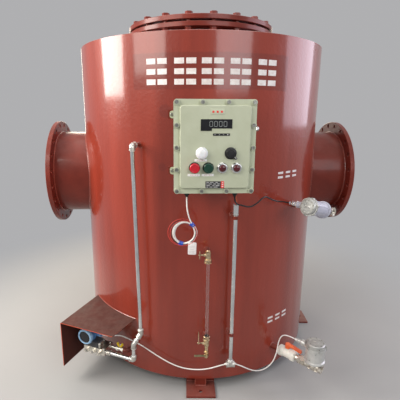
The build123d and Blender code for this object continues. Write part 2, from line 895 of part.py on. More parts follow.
def glass_ends():
    low = gauge_lower + cock_side + gauge_nut_height - 12
    high = gauge_upper - cock_side - gauge_nut_height + 12
    return low, high


def glass_socket(radius):
    low, high = glass_ends()
    return tube((gauge_across, -gauge_out, low), (gauge_across, -gauge_out, high), radius)


def gauge_upper_cock():
    return gauge_cock(gauge_upper, -1) - glass_socket(gauge_tube_radius)


def gauge_lower_cock():
    """The lower cock with the drain cock under it, in one line."""
    centre = Vector(gauge_across, -gauge_out, gauge_drain)
    body = gauge_cock(gauge_lower, 1) - glass_socket(gauge_tube_radius)
    body += tube((gauge_across, -gauge_out, gauge_lower), centre - Vector(0, 0, 22), cock_radius - 2)
    body += prism(centre + Vector(0, 0, 16), centre + Vector(0, 0, 6), 24)
    body += prism(centre - Vector(0, 0, 16), centre - Vector(0, 0, 6), 24)
    body += tube(centre, centre - Vector(0, 16, 0), 7)
    return body


def gauge_glass():
    return glass_socket(gauge_tube_radius) - glass_socket(gauge_tube_radius - gauge_tube_wall)


def side_lever(height, low, high):
    """A flat lever upright on the left of a cock, on a short stem."""
    root = Vector(gauge_across - cock_side - lever_gap, -gauge_out, height)
    tip = root - Vector(18, 0, 0)
    lever = tube(root, tip, lever_stem_radius)
    half = lever_width / 2
    lever += block((tip.X - lever_thickness, tip.Y - half, height - low), (tip.X, tip.Y + half, height + high))
    return lever


def gauge_upper_lever():
    return side_lever(gauge_upper, upper_lever_length / 2, upper_lever_length / 2)


def gauge_lower_lever():
    return side_lever(gauge_lower, lever_width / 2, lower_lever_length)


def gauge_drain_lever():
    """A flat lever that lies to the left over the drain cock's stem."""
    front = gauge_out + 16 + lever_gap
    half = lever_width / 2
    lever = block((gauge_across - drain_lever_length, -front - lever_thickness, gauge_drain - half),
                  (gauge_across + half, -front, gauge_drain + half))
    hub = tube((gauge_across, -front, gauge_drain), (gauge_across, -front - lever_thickness - 3, gauge_drain), half + 2)
    return lever + hub


# The conduit

conduit_out = (vessel_radius + conduit_stand_off) * cos(conduit_across / vessel_radius)


def conduit_axis(height):
    return Vector(conduit_across, -conduit_out, height)


def conduit_pipe():
    pipe = tube(conduit_axis(conduit_foot + tee_length / 2), conduit_axis(conduit_top), pipe_radius, pipe_bore)
    cap_low, cap_high = conduit_axis(conduit_top), conduit_axis(conduit_top + conduit_cap_length)
    return pipe + tube(cap_low, cap_high, fitting_radius - 1, pipe_bore)


def conduit_tee():
    """The junction at the conduit's foot, with a mouth to each side for the cables."""
    centre = conduit_axis(conduit_foot)
    half = Vector(tee_length / 2, 0, 0)
    body = tube(centre - half, centre + half, tee_radius)
    body += tube(centre, conduit_axis(conduit_foot + tee_length / 2), tee_radius)
    body -= tube(centre - half, centre + half, signal_radius)
    return body


def conduit_clamps():
    """Straps round the pipe, each on a leg that stands on the shell."""
    clamps = []
    for height in clamp_heights:
        low, high = conduit_axis(height - clamp_width / 2), conduit_axis(height + clamp_width / 2)
        strap = tube(low, high, pipe_radius + clamp_thickness, pipe_radius)
        side = conduit_axis(height) - Vector(pipe_radius + 3, 0, 0)
        leg = tube(side, Vector(side.X, -vessel_radius / 2, height), clamp_leg_radius)
        leg -= tube(low, high, pipe_radius)
        clamps.append(strap + leg - vessel_core())
    return clamps


# Motor valves: the valve's frame has its X axis along the pipe, outwards, and its Z axis along the stem.

inlet_stem = (heading(inlet_angle - 90) * cos(radians(inlet_tilt)) + Vector(0, 0, sin(radians(inlet_tilt))))
inlet_frame = Plane(origin=inlet_centre, x_dir=inlet_out, z_dir=inlet_stem)
outlet_frame = Plane(origin=outlet_centre, x_dir=outlet_out, z_dir=(0, 0, 1))


def motor_valve(tail):
    """A two-piece ball valve with a threaded mouth and a stem pad."""
    half = valve_half
    body = Rot(0, 90, 0) * Cylinder(valve_end_radius - 3, 2 * half)
    body += Sphere(valve_ball_radius)
    for way in (-1, 1):
        body += prism((way * half, 0, 0), (way * (half - 14), 0, 0), 2 * valve_end_radius, 8)
    body += Pos(0, 0, motor_foot_gap / 2) * Cylinder(11, motor_foot_gap)
    pad = motor_pad_size
    body += Pos(0, 0, motor_foot_gap - motor_pad_thickness / 2) * Box(pad, pad, motor_pad_thickness)
    body -= tube((half - valve_thread_depth, 0, 0), (half, 0, 0), valve_thread_radius)
    body -= tube((-half, 0, 0), (half, 0, 0), water_stub_bore)
    if tail:
        body += tube((-half - tail, 0, 0), (-half, 0, 0), nipple_radius, water_stub_bore)
        body += prism((-half - 4, 0, 0), (-half - tail * 0.7, 0, 0), tail_nut_width, 6) - tube(
            (-half - tail, 0, 0), (-half, 0, 0), water_stub_bore)
    return body


def motor_housing(radius, total):
    """The flameproof housing: a pot with flanges top and bottom, and an arm for the cable gland."""
    high = total - motor_cover_height
    body = turned((0, motor_foot_gap), (radius + 2, motor_foot_gap), (radius + 2, motor_foot_gap + 9),
                  (radius - 5, motor_foot_gap + 12), (radius - 5, high - 12), (radius + 2, high - 9),
                  (radius + 2, high), (0, high))
    level = total - motor_arm_drop
    body += tube((0, 0, level), (-0.62 * motor_arm_reach, 0, level), motor_arm_radius)
    neck = Plane(origin=(-0.62 * motor_arm_reach, 0, level), z_dir=(-1, 0, 0))
    reach = 0.38 * motor_arm_reach
    arm = motor_arm_radius
    body += neck * turned((0, 0), (arm, 0), (arm - 3, 5), (arm - 6, 9), (arm - 6, 0.5 * reach),
                          (arm - 8, 0.55 * reach), (arm - 8, reach - 4), (arm - 12, reach), (0, reach))
    return body


def motor_cover(radius, total):
    """The screwed round cover, domed a little, with a ring of screws."""
    low = total - motor_cover_height
    cover = turned((0, low), (radius + 2, low), (radius + 2, low + 8), (radius - 2, low + 8),
                   (radius - 4, total - 4), (radius - 9, total), (0, total))
    return cover


def inlet_valve():
    return inlet_frame * motor_valve(0)


def inlet_actuator():
    return inlet_frame * motor_housing(inlet_motor_radius, inlet_total)


def inlet_actuator_cover():
    return inlet_frame * motor_cover(inlet_motor_radius, inlet_total)


plastic_start = outlet_stub_length - 6
plastic_end = plastic_start + plastic_valve_length
outlet_tail = outlet_run - valve_half - plastic_end


def outlet_valve():
    return outlet_frame * motor_valve(outlet_tail)


def outlet_actuator():
    return outlet_frame * motor_housing(outlet_motor_radius, outlet_total)


def outlet_actuator_cover():
    return outlet_frame * motor_cover(outlet_motor_radius, outlet_total)


plastic_frame = Plane(origin=outlet_root + outlet_out * (plastic_start + plastic_end) / 2, x_dir=outlet_out,
                      z_dir=(0, 0, 1))


def plastic_valve():
    """A double-union ball valve: a waisted body between two ribbed union nuts."""
    half, radius, waist = plastic_valve_length / 2, plastic_valve_radius, plastic_valve_waist
    body = turned((water_stub_bore, -half), (radius - 4, -half), (radius, -half + 4), (radius, -half + 28),
                  (waist, -half + 30), (waist, half - 30), (radius, half - 28), (radius, half - 4),
                  (radius - 4, half), (water_stub_bore, half))
    body = Rot(0, 90, 0) * body
    body += Pos(0, 0, waist) * Cylinder(12, 20)
    socket = tube((-half, 0, 0), (-half + 6, 0, 0), water_stub_radius)
    return plastic_frame * (body - socket)


def plastic_lever():
    """A hub and a bent grip that lies along the pipe when the valve is open."""
    base = plastic_valve_waist + 10 + lever_gap
    rise = plastic_lever_rise
    hub = Pos(0, 0, (base + rise) / 2) * Cylinder(plastic_lever_hub, rise - base)
    grip = Polyline((0, rise - 12), (30, rise - 12), (plastic_lever_length, rise - 20), (plastic_lever_length, rise - 12),
                    (30, rise), (0, rise), close=True)
    return plastic_frame * (hub + extrude(Plane.XZ * make_face(grip), 8, both=True))


# Cords

gland_tips = [Vector(across, -gland_out, box_bottom + box_body_inset - gland_length) for across in gland_spots]
tee_half = Vector(tee_length / 2, 0, 0)
transmitter_entry = hood_point(transmitter_across + transmitter_radius + conduit_entry_length, transmitter_back,
                               transmitter_height)
inlet_arm_tip = inlet_frame.from_local_coords(Vector(-motor_arm_reach, 0, inlet_total - motor_arm_drop))
outlet_arm_tip = outlet_frame.from_local_coords(Vector(-motor_arm_reach, 0, outlet_total - motor_arm_drop))


def fitted(route, start, end):
    """A route moved so that its ends meet two fittings, each point by its share of the way."""
    points = [Vector(*point) for point in route]
    first, last = start - points[0], end - points[-1]
    steps = len(points) - 1
    return [point + first * (1 - i / steps) + last * (i / steps) for i, point in enumerate(points)]


def lead_coil():
    """The outer shape of the coiled lead and its wires, hanging flat."""
    section = Rectangle(2 * coil_half_width, 2 * coil_half_depth)
    section = chamfer(section.vertices(), 5)
    ring = revolve(Plane.XZ * Pos(coil_radius, 0) * section, Axis.Z)
    return Plane(origin=gland_tips[0] + Vector(*coil_drop), z_dir=(0, -1, 0)) * ring


def write(**nodes):
    os.makedirs("parts", exist_ok=True)
    for name, shape in nodes.items():
        solids = shape if isinstance(shape, list) else [shape]
        export_step(Compound([solid for piece in solids for solid in piece.solids()]), f"parts/{name}.step")


write(
    shell=shell(),
    top_head=top_head(),
    bottom_plate=bottom_plate(),
    shell_stubs=shell_stubs(),
    feet=feet(),
    inlet_nozzle=gas_nozzle(-1),
    inlet_flange=gas_flange(-1),
    outlet_nozzle=gas_nozzle(1),
    outlet_flange=gas_flange(1),
    dip_pipe=dip_pipe(),
    relief_neck=relief_neck(),
    relief_lower_flange=relief_ring(lower_ring_bottom, relief_neck_radius),
    relief_upper_flange=relief_ring(upper_ring_bottom),
    relief_gaskets=relief_gaskets(),
    relief_membrane=relief_membrane(),
    relief_bolts=relief_bolts(),
    relief_nuts=relief_nuts(),
    box_body=box_body(),
    box_lid=box_lid(),
    lid_bolts=lid_bolts(),
    box_bracket=box_bracket(),
    display_window=display_window(),
    key_strip=key_strip(),
    white_lamp=white_lamp(),
    red_lamps=red_lamps(),
    red_button=push_button(red_button_spot),
    green_button=push_button(green_button_spot),
    selector_knob=selector_knob(),
    cable_glands=cable_glands(),
    sense_pipes=sense_pipes(),
    sense_elbows=sense_elbows(),
    instrument_hood=instrument_hood(),
    transmitter_body=transmitter_body(),
    transmitter_covers=transmitter_covers(),
    transmitter_capsule=transmitter_capsule(),
    valve_manifold=valve_manifold(),
    low_tap_valve=low_tap_valve(),
    low_tap_handle=low_tap_handle(),
    gauge_upper_cock=gauge_upper_cock(),
    gauge_lower_cock=gauge_lower_cock(),
    gauge_glass=gauge_glass(),
    gauge_upper_lever=gauge_upper_lever(),
    gauge_lower_lever=gauge_lower_lever(),
    gauge_drain_lever=gauge_drain_lever(),
    conduit_pipe=conduit_pipe(),
    conduit_tee=conduit_tee(),
    conduit_clamps=conduit_clamps(),
    inlet_valve=inlet_valve(),
    inlet_actuator=inlet_actuator(),
    inlet_actuator_cover=inlet_actuator_cover(),
    plastic_valve=plastic_valve(),
    plastic_lever=plastic_lever(),
    outlet_valve=outlet_valve(),
    outlet_actuator=outlet_actuator(),
    outlet_actuator_cover=outlet_actuator_cover(),
    lead_cord=cord([gland_tips[0] + Vector(*drop) for drop in lead_drops], lead_radius),
    lead_coil=lead_coil(),
    black_cord=cord(fitted(black_route, gland_tips[1], inlet_arm_tip), valve_cord_radius),
    signal_cord=cord(fitted(signal_route, conduit_axis(conduit_foot) - tee_half, transmitter_entry), signal_radius),
    outlet_cord=cord(fitted(outlet_cord_route, conduit_axis(conduit_foot) + tee_half, outlet_arm_tip), signal_radius),
)
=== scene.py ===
import bmesh
import bpy
import math
import random
from mathutils import Matrix, Vector, noise


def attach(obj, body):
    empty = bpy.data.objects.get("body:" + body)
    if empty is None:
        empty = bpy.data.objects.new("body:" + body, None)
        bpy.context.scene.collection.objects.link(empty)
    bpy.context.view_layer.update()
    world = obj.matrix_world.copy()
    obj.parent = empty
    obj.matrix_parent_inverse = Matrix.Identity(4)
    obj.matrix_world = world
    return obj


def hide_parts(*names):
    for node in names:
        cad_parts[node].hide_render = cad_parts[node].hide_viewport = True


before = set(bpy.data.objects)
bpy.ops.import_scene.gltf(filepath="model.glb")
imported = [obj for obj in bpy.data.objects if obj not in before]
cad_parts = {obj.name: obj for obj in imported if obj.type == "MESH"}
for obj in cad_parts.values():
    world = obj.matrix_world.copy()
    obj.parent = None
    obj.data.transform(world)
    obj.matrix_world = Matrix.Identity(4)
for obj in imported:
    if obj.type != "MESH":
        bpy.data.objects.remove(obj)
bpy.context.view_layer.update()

random.seed(7)
vesselBody = "vessel"
print("frame loaded:", len(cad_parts), "nodes")

# where things are, in metres, the same values as in the part's source
place = {
    "shellRadius": 0.750, "shellLow": 0.060, "shellHigh": 1.903,
    "nozzleHeight": 1.141, "nozzleRadius": 0.265, "nozzleReach": 0.949, "flangeRadius": 0.335, "flangeThick": 0.028,
    "neckRadius": 0.360, "neckHigh": 1.985,
    "boxFace": -0.955, "boxFlange": -0.940, "boxLeft": -0.191, "boxRight": 0.167, "boxLow": 1.183, "boxHigh": 1.592,
    "gaugeX": -0.019, "gaugeY": -0.830, "gaugeHigh": 0.844, "gaugeLow": 0.347, "gaugeDrain": 0.283,
    "conduitX": 0.118, "conduitY": -0.800,
}


def heading(angle, radius=1.0, height=0.0):
    turn = math.radians(angle)
    return Vector((math.sin(turn) * radius, -math.cos(turn) * radius, height))


# ---- node helpers

def addNode(tree, kind, settings=None, values=None):
    node = tree.nodes.new(kind)
    for key, value in (settings or {}).items():
        setattr(node, key, value)
    for key, value in (values or {}).items():
        node.inputs[key].default_value = value
    return node


def join(tree, source, outName, target, inName):
    tree.links.new(source.outputs[outName], target.inputs[inName])


def startGroup(name, inputs, outputs):
    group = bpy.data.node_groups.new(name, "ShaderNodeTree")
    for label, value in inputs:
        socket = group.interface.new_socket(name=label, in_out="INPUT", socket_type="NodeSocketFloat")
        socket.default_value = value
    for label in outputs:
        group.interface.new_socket(name=label, in_out="OUTPUT", socket_type="NodeSocketFloat")
    return group, group.nodes.new("NodeGroupInput"), group.nodes.new("NodeGroupOutput")


def mathNode(tree, operation, first, second=None, clamp=False):
    node = addNode(tree, "ShaderNodeMath", {"operation": operation, "use_clamp": clamp})
    for index, value in enumerate((first, second)):
        if value is None:
            continue
        if isinstance(value, tuple):
            tree.links.new(value[0].outputs[value[1]], node.inputs[index])
        else:
            node.inputs[index].default_value = value
    return node


def buildToneGroup():
    # soft patches of lighter and darker paint
    group, inn, out = startGroup("toneShift", [("Scale", 3.0), ("Contrast", 0.5), ("Stretch", 1.0)], ["Mask"])
    coords = addNode(group, "ShaderNodeTexCoord")
    split = addNode(group, "ShaderNodeSeparateXYZ")
    tall = mathNode(group, "DIVIDE", (split, "Z"), (inn, "Stretch"))
    merge = addNode(group, "ShaderNodeCombineXYZ")
    cloud = addNode(group, "ShaderNodeTexNoise", None, {"Detail": 5.0, "Roughness": 0.6})
    spread = addNode(group, "ShaderNodeMapRange", {"clamp": True})
    low = mathNode(group, "MULTIPLY_ADD", (inn, "Contrast"), -0.3)
    low.inputs[2].default_value = 0.45
    high = mathNode(group, "MULTIPLY_ADD", (inn, "Contrast"), 0.0)
    high.inputs[2].default_value = 0.62
    join(group, coords, "Object", split, "Vector")
    join(group, split, "X", merge, "X")
    join(group, split, "Y", merge, "Y")
    join(group, tall, "Value", merge, "Z")
    join(group, merge, "Vector", cloud, "Vector")
    join(group, inn, "Scale", cloud, "Scale")
    join(group, cloud, "Fac", spread, "Value")
    join(group, low, "Value", spread, "From Min")
    join(group, high, "Value", spread, "From Max")
    join(group, spread, "Result", out, "Mask")
    return group


def buildEdgeGroup():
    # bare or bright metal where an edge is rubbed
    group, inn, out = startGroup("edgeWear", [("Width", 0.004), ("Amount", 0.5), ("Grain", 60.0)], ["Mask"])
    rounded = addNode(group, "ShaderNodeBevel", {"samples": 4})
    plain = addNode(group, "ShaderNodeNewGeometry")
    dot = addNode(group, "ShaderNodeVectorMath", {"operation": "DOT_PRODUCT"})
    coords = addNode(group, "ShaderNodeTexCoord")
    chips = addNode(group, "ShaderNodeTexNoise", None, {"Detail": 4.0, "Roughness": 0.65})
    away = mathNode(group, "SUBTRACT", 1.0, (dot, "Value"))
    strong = mathNode(group, "MULTIPLY", (away, "Value"), 6.0, clamp=True)
    chipped = addNode(group, "ShaderNodeMapRange", {"clamp": True}, {"From Min": 0.42, "From Max": 0.58})
    both = mathNode(group, "MULTIPLY", (strong, "Value"), (chipped, "Result"))
    scaled = mathNode(group, "MULTIPLY", (both, "Value"), (inn, "Amount"), clamp=True)
    join(group, inn, "Width", rounded, "Radius")
    join(group, rounded, "Normal", dot, 0)
    join(group, plain, "Normal", dot, 1)
    join(group, coords, "Object", chips, "Vector")
    join(group, inn, "Grain", chips, "Scale")
    join(group, chips, "Fac", chipped, "Value")
    join(group, scaled, "Value", out, "Mask")
    return group


def buildDustGroup():
    # dust that lies on what faces up
    group, inn, out = startGroup("dustFall", [("Amount", 0.4), ("Scale", 14.0)], ["Mask"])
    plain = addNode(group, "ShaderNodeNewGeometry")
    split = addNode(group, "ShaderNodeSeparateXYZ")
    coords = addNode(group, "ShaderNodeTexCoord")
    cloud = addNode(group, "ShaderNodeTexNoise", None, {"Detail": 6.0, "Roughness": 0.7})
    up = addNode(group, "ShaderNodeMapRange", {"clamp": True}, {"From Min": 0.25, "From Max": 0.95})
    patch = addNode(group, "ShaderNodeMapRange", {"clamp": True}, {"From Min": 0.35, "From Max": 0.7, "To Min": 0.25})
    both = mathNode(group, "MULTIPLY", (up, "Result"), (patch, "Result"))
    scaled = mathNode(group, "MULTIPLY", (both, "Value"), (inn, "Amount"), clamp=True)
    join(group, plain, "Normal", split, "Vector")
    join(group, split, "Z", up, "Value")
    join(group, coords, "Object", cloud, "Vector")
    join(group, inn, "Scale", cloud, "Scale")
    join(group, cloud, "Fac", patch, "Value")
    join(group, scaled, "Value", out, "Mask")
    return group


def buildSkinGroup():
    # the skin of sprayed paint or cast metal, as a height
    group, inn, out = startGroup("skinHeight", [("Scale", 200.0), ("Wave", 8.0), ("Wave Amount", 0.6), ("Stretch", 1.0)], ["Height"])
    coords = addNode(group, "ShaderNodeTexCoord")
    fine = addNode(group, "ShaderNodeTexNoise", None, {"Detail": 2.0, "Roughness": 0.5})
    split = addNode(group, "ShaderNodeSeparateXYZ")
    tall = mathNode(group, "DIVIDE", (split, "Z"), (inn, "Stretch"))
    merge = addNode(group, "ShaderNodeCombineXYZ")
    slow = addNode(group, "ShaderNodeTexNoise", None, {"Detail": 2.0, "Roughness": 0.4})
    slowPart = mathNode(group, "MULTIPLY", (slow, "Fac"), (inn, "Wave Amount"))
    total = mathNode(group, "MULTIPLY_ADD", (fine, "Fac"), 0.12)
    join(group, coords, "Object", fine, "Vector")
    join(group, coords, "Object", split, "Vector")
    join(group, split, "X", merge, "X")
    join(group, split, "Y", merge, "Y")
    join(group, tall, "Value", merge, "Z")
    join(group, merge, "Vector", slow, "Vector")
    join(group, inn, "Scale", fine, "Scale")
    join(group, inn, "Wave", slow, "Scale")
    join(group, slowPart, "Value", total, 2)
    join(group, total, "Value", out, "Height")
    return group


def buildScratchGroup():
    # fine lines left by drawing, turning or brushing
    group, inn, out = startGroup("drawnLines", [("Across", 300.0), ("Along", 6.0)], ["Mask"])
    coords = addNode(group, "ShaderNodeTexCoord")
    split = addNode(group, "ShaderNodeSeparateXYZ")
    across = mathNode(group, "MULTIPLY", (split, "X"), (inn, "Across"))
    deep = mathNode(group, "MULTIPLY", (split, "Y"), (inn, "Across"))
    along = mathNode(group, "MULTIPLY", (split, "Z"), (inn, "Along"))
    merge = addNode(group, "ShaderNodeCombineXYZ")
    lines = addNode(group, "ShaderNodeTexNoise", None, {"Scale": 1.0, "Detail": 3.0, "Roughness": 0.6})
    join(group, coords, "Object", split, "Vector")
    join(group, across, "Value", merge, "X")
    join(group, deep, "Value", merge, "Y")
    join(group, along, "Value", merge, "Z")
    join(group, merge, "Vector", lines, "Vector")
    join(group, lines, "Fac", out, "Mask")
    return group


toneShift = buildToneGroup()
edgeWear = buildEdgeGroup()
dustFall = buildDustGroup()
skinHeight = buildSkinGroup()
drawnLines = buildScratchGroup()


def useGroup(tree, group, **values):
    node = tree.nodes.new("ShaderNodeGroup")
    node.node_tree = group
    for key, value in values.items():
        node.inputs[key.replace("_", " ")].default_value = value
    return node


def mixColour(tree, factor, first, second):
    node = addNode(tree, "ShaderNodeMix", {"data_type": "RGBA"})
    for slot, value in ((0, factor), (6, first), (7, second)):
        if isinstance(value, tuple) and isinstance(value[0], bpy.types.Node):
            tree.links.new(value[0].outputs[value[1]], node.inputs[slot])
        else:
            node.inputs[slot].default_value = value if slot == 0 else (*value, 1.0)
    return node


def startMaterial(name):
    material = bpy.data.materials.new(name)
    material.use_nodes = True
    tree = material.node_tree
    tree.nodes.clear()
    surface = tree.nodes.new("ShaderNodeBsdfPrincipled")
    output = tree.nodes.new("ShaderNodeOutputMaterial")
    join(tree, surface, "BSDF", output, "Surface")
    return material, tree, surface


def roughnessFrom(tree, surface, source, outName, low, high):
    spread = addNode(tree, "ShaderNodeMapRange", {"clamp": True}, {"To Min": low, "To Max": high})
    join(tree, source, outName, spread, "Value")
    join(tree, spread, "Result", surface, "Roughness")


def bumpFrom(tree, surface, source, outName, distance, strength=1.0):
    bump = addNode(tree, "ShaderNodeBump", None, {"Distance": distance, "Strength": strength})
    join(tree, source, outName, bump, "Height")
    join(tree, bump, "Normal", surface, "Normal")
    return bump


def paint(name, values):
    # sprayed or brushed paint over metal, with rubbed edges and a little dust
    material, tree, surface = startMaterial(name)
    tone = useGroup(tree, toneShift, Scale=values.get("toneScale", 3.0), Contrast=values.get("contrast", 0.6), Stretch=values.get("stretch", 1.0))
    body = mixColour(tree, (tone, "Mask"), values["deep"], values["colour"])
    wear = useGroup(tree, edgeWear, Width=values.get("wearWidth", 0.003), Amount=values.get("wear", 0.3), Grain=values.get("wearGrain", 60.0))
    worn = mixColour(tree, (wear, "Mask"), (body, "Result"), values.get("under", (0.35, 0.33, 0.31)))
    dust = useGroup(tree, dustFall, Amount=values.get("dust", 0.25), Scale=values.get("dustScale", 12.0))
    dusty = mixColour(tree, (dust, "Mask"), (worn, "Result"), values.get("dustColour", (0.42, 0.37, 0.33)))
    join(tree, dusty, "Result", surface, "Base Color")
    matte = mathNode(tree, "MAXIMUM", (dust, "Mask"), (tone, "Mask"))
    roughnessFrom(tree, surface, matte, "Value", values["gloss"][0], values["gloss"][1])
    skin = useGroup(tree, skinHeight, Scale=values.get("skin", 220.0), Wave=values.get("wave", 6.0),
                    Wave_Amount=values.get("waveAmount", 0.6), Stretch=values.get("stretch", 1.0))
    bumpFrom(tree, surface, skin, "Height", values.get("bump", 0.0006))
    surface.inputs["Coat Weight"].default_value = values.get("coat", 0.0)
    surface.inputs["Coat Roughness"].default_value = values.get("coatRoughness", 0.12)
    surface.inputs["Specular IOR Level"].default_value = values.get("specular", 0.4)
    surface.inputs["Metallic"].default_value = values.get("metallic", 0.0)
    return material


def metal(name, values):
    # bare metal with drawn lines, dull patches and rubbed edges
    material, tree, surface = startMaterial(name)
    lines = useGroup(tree, drawnLines, Across=values.get("across", 300.0), Along=values.get("along", 6.0))
    tone = useGroup(tree, toneShift, Scale=values.get("toneScale", 30.0), Contrast=values.get("contrast", 0.6), Stretch=values.get("stretch", 1.0))
    body = mixColour(tree, (tone, "Mask"), values["deep"], values["colour"])
    wear = useGroup(tree, edgeWear, Width=values.get("wearWidth", 0.0015), Amount=values.get("wear", 0.4), Grain=80.0)
    bright = mixColour(tree, (wear, "Mask"), (body, "Result"), values.get("edge", (0.8, 0.79, 0.76)))
    join(tree, bright, "Result", surface, "Base Color")
    surface.inputs["Metallic"].default_value = values.get("metallic", 1.0)
    low, high = values["gloss"]
    blend = mathNode(tree, "ADD", (tone, "Mask"), (lines, "Mask"))
    half = mathNode(tree, "MULTIPLY", (blend, "Value"), 0.5)
    roughnessFrom(tree, surface, half, "Value", low, high)
    bumpFrom(tree, surface, lines, "Mask", values.get("bump", 0.0002))
    return material


def plastic(name, values):
    material, tree, surface = startMaterial(name)
    tone = useGroup(tree, toneShift, Scale=values.get("toneScale", 25.0), Contrast=values.get("contrast", 0.5), Stretch=1.0)
    body = mixColour(tree, (tone, "Mask"), values["deep"], values["colour"])
    dust = useGroup(tree, dustFall, Amount=values.get("dust", 0.15), Scale=40.0)
    dusty = mixColour(tree, (dust, "Mask"), (body, "Result"), (0.45, 0.42, 0.38))
    join(tree, dusty, "Result", surface, "Base Color")
    roughnessFrom(tree, surface, tone, "Mask", *values["gloss"])
    skin = useGroup(tree, skinHeight, Scale=values.get("skin", 900.0), Wave=60.0, Wave_Amount=0.3, Stretch=1.0)
    bumpFrom(tree, surface, skin, "Height", values.get("bump", 0.0001))
    surface.inputs["Coat Weight"].default_value = values.get("coat", 0.0)
    surface.inputs["Subsurface Weight"].default_value = values.get("soft", 0.0)
    surface.inputs["Specular IOR Level"].default_value = values.get("specular", 0.5)
    return material


# ---- the vessel's paint, with the repainted rectangle under the rim and the round marks of cleaned lugs

# the deep colour, stretched tall with strong contrast, paints upright darker and lighter bands: painted shading, like
# the light and shade a wavy rolled sheet shows
vesselPaint = {
    "colour": (0.285, 0.037, 0.019), "deep": (0.135, 0.017, 0.010), "under": (0.32, 0.10, 0.07), "specular": 0.20,
    "toneScale": 3.2, "stretch": 9.0, "contrast": 0.9, "gloss": (0.24, 0.36), "wear": 0.25, "wearWidth": 0.004,
    "dust": 0.14, "bump": 0.0085, "skin": 60.0, "wave": 4.2, "waveAmount": 1.6, "coat": 0.82, "coatRoughness": 0.11,
}
bandValues = {"halfAngle": 31.0, "low": 1.640, "high": 1.812, "colour": (0.105, 0.018, 0.014), "soft": 0.006, "strength": 0.38}
markSpots = [(-17.7, 1.543, 0.036), (-19.0, 1.269, 0.024)]


def buildBandGroup():
    # one where the repainted rectangle and the touched-up spots are
    group, inn, out = startGroup("repaintBand", [("Half Angle", 31.0), ("Low", 1.64), ("High", 1.81), ("Soft", 0.01)], ["Mask"])
    coords = addNode(group, "ShaderNodeTexCoord")
    split = addNode(group, "ShaderNodeSeparateXYZ")
    ragged = addNode(group, "ShaderNodeTexNoise", None, {"Scale": 30.0, "Detail": 4.0})
    wobble = mathNode(group, "MULTIPLY_ADD", (ragged, "Fac"), 0.012)
    wobble.inputs[2].default_value = -0.006
    join(group, coords, "Object", split, "Vector")
    join(group, coords, "Object", ragged, "Vector")
    front = mathNode(group, "MULTIPLY", (split, "Y"), -1.0)
    turn = mathNode(group, "ARCTAN2", (split, "X"), (front, "Value"))
    away = mathNode(group, "ABSOLUTE", (turn, "Value"))
    degrees = mathNode(group, "MULTIPLY", (away, "Value"), 57.2958)
    inside = mathNode(group, "SUBTRACT", (inn, "Half Angle"), (degrees, "Value"))
    sides = mathNode(group, "MULTIPLY", (inside, "Value"), 1.2, clamp=True)
    height = mathNode(group, "ADD", (split, "Z"), (wobble, "Value"))
    over = mathNode(group, "SUBTRACT", (height, "Value"), (inn, "Low"))
    overSoft = mathNode(group, "DIVIDE", (over, "Value"), (inn, "Soft"), clamp=True)
    under = mathNode(group, "SUBTRACT", (inn, "High"), (height, "Value"))
    underSoft = mathNode(group, "DIVIDE", (under, "Value"), (inn, "Soft"), clamp=True)
    span = mathNode(group, "MULTIPLY", (overSoft, "Value"), (underSoft, "Value"))
    total = mathNode(group, "MULTIPLY", (span, "Value"), (sides, "Value"))
    previous = total
    for angle, level, radius in markSpots:
        spot = heading(angle, place["shellRadius"], level)
        away3 = addNode(group, "ShaderNodeVectorMath", {"operation": "DISTANCE"}, {1: spot})
        join(group, coords, "Object", away3, 0)
        ring = mathNode(group, "SUBTRACT", radius, (away3, "Value"))
        soft = mathNode(group, "MULTIPLY", (ring, "Value"), 120.0, clamp=True)
        faint = mathNode(group, "MULTIPLY", (soft, "Value"), 0.9)
        previous = mathNode(group, "MAXIMUM", (previous, "Value"), (faint, "Value"))
    join(group, previous, "Value", out, "Mask")
    return group


repaintBand = buildBandGroup()


def shellFinish():
    material = paint("vesselPaint", vesselPaint)
    tree = material.node_tree
    surface = next(n for n in tree.nodes if n.type == "BSDF_PRINCIPLED")
    before = surface.inputs["Base Color"].links[0].from_node
    band = useGroup(tree, repaintBand, Half_Angle=bandValues["halfAngle"], Low=bandValues["low"], High=bandValues["high"], Soft=bandValues["soft"])
    partly = mathNode(tree, "MULTIPLY", (band, "Mask"), bandValues["strength"])
    over = mixColour(tree, (partly, "Value"), (before, "Result"), bandValues["colour"])
    join(tree, over, "Result", surface, "Base Color")
    return material


finish = {"shellPaint": shellFinish()}
# the vessel's red, darkened for the heads, nozzles, flanges, feet and small fittings: painted shade
finish["shadedRedPaint"] = paint("shadedRedPaint", {
    **vesselPaint, "colour": (0.190, 0.029, 0.018), "deep": (0.105, 0.017, 0.011), "toneScale": 7.0, "stretch": 1.0, "wave": 14.0, "bump": 0.0009,
    "skin": 160.0, "wear": 0.45, "coat": 0.15})
finish["weldPaint"] = paint("weldPaint", {**vesselPaint, "colour": (0.30, 0.07, 0.048), "toneScale": 20.0, "stretch": 1.0, "bump": 0.001, "wear": 0.2})
hoodPaint = {
    "colour": (0.082, 0.022, 0.0155), "deep": (0.050, 0.0155, 0.0115), "under": (0.46, 0.09, 0.05), "toneScale": 11.0, "contrast": 0.8,
    "gloss": (0.50, 0.70), "wear": 0.9, "wearWidth": 0.003, "wearGrain": 20.0, "dust": 0.10, "dustScale": 30.0, "bump": 0.0008, "specular": 0.18}
# colour and facing of the painted highlight on the hood's front edge
hoodEdgeHighlight = {"colour": (0.47, 0.080, 0.040), "heading": -25, "facing": 0.93}


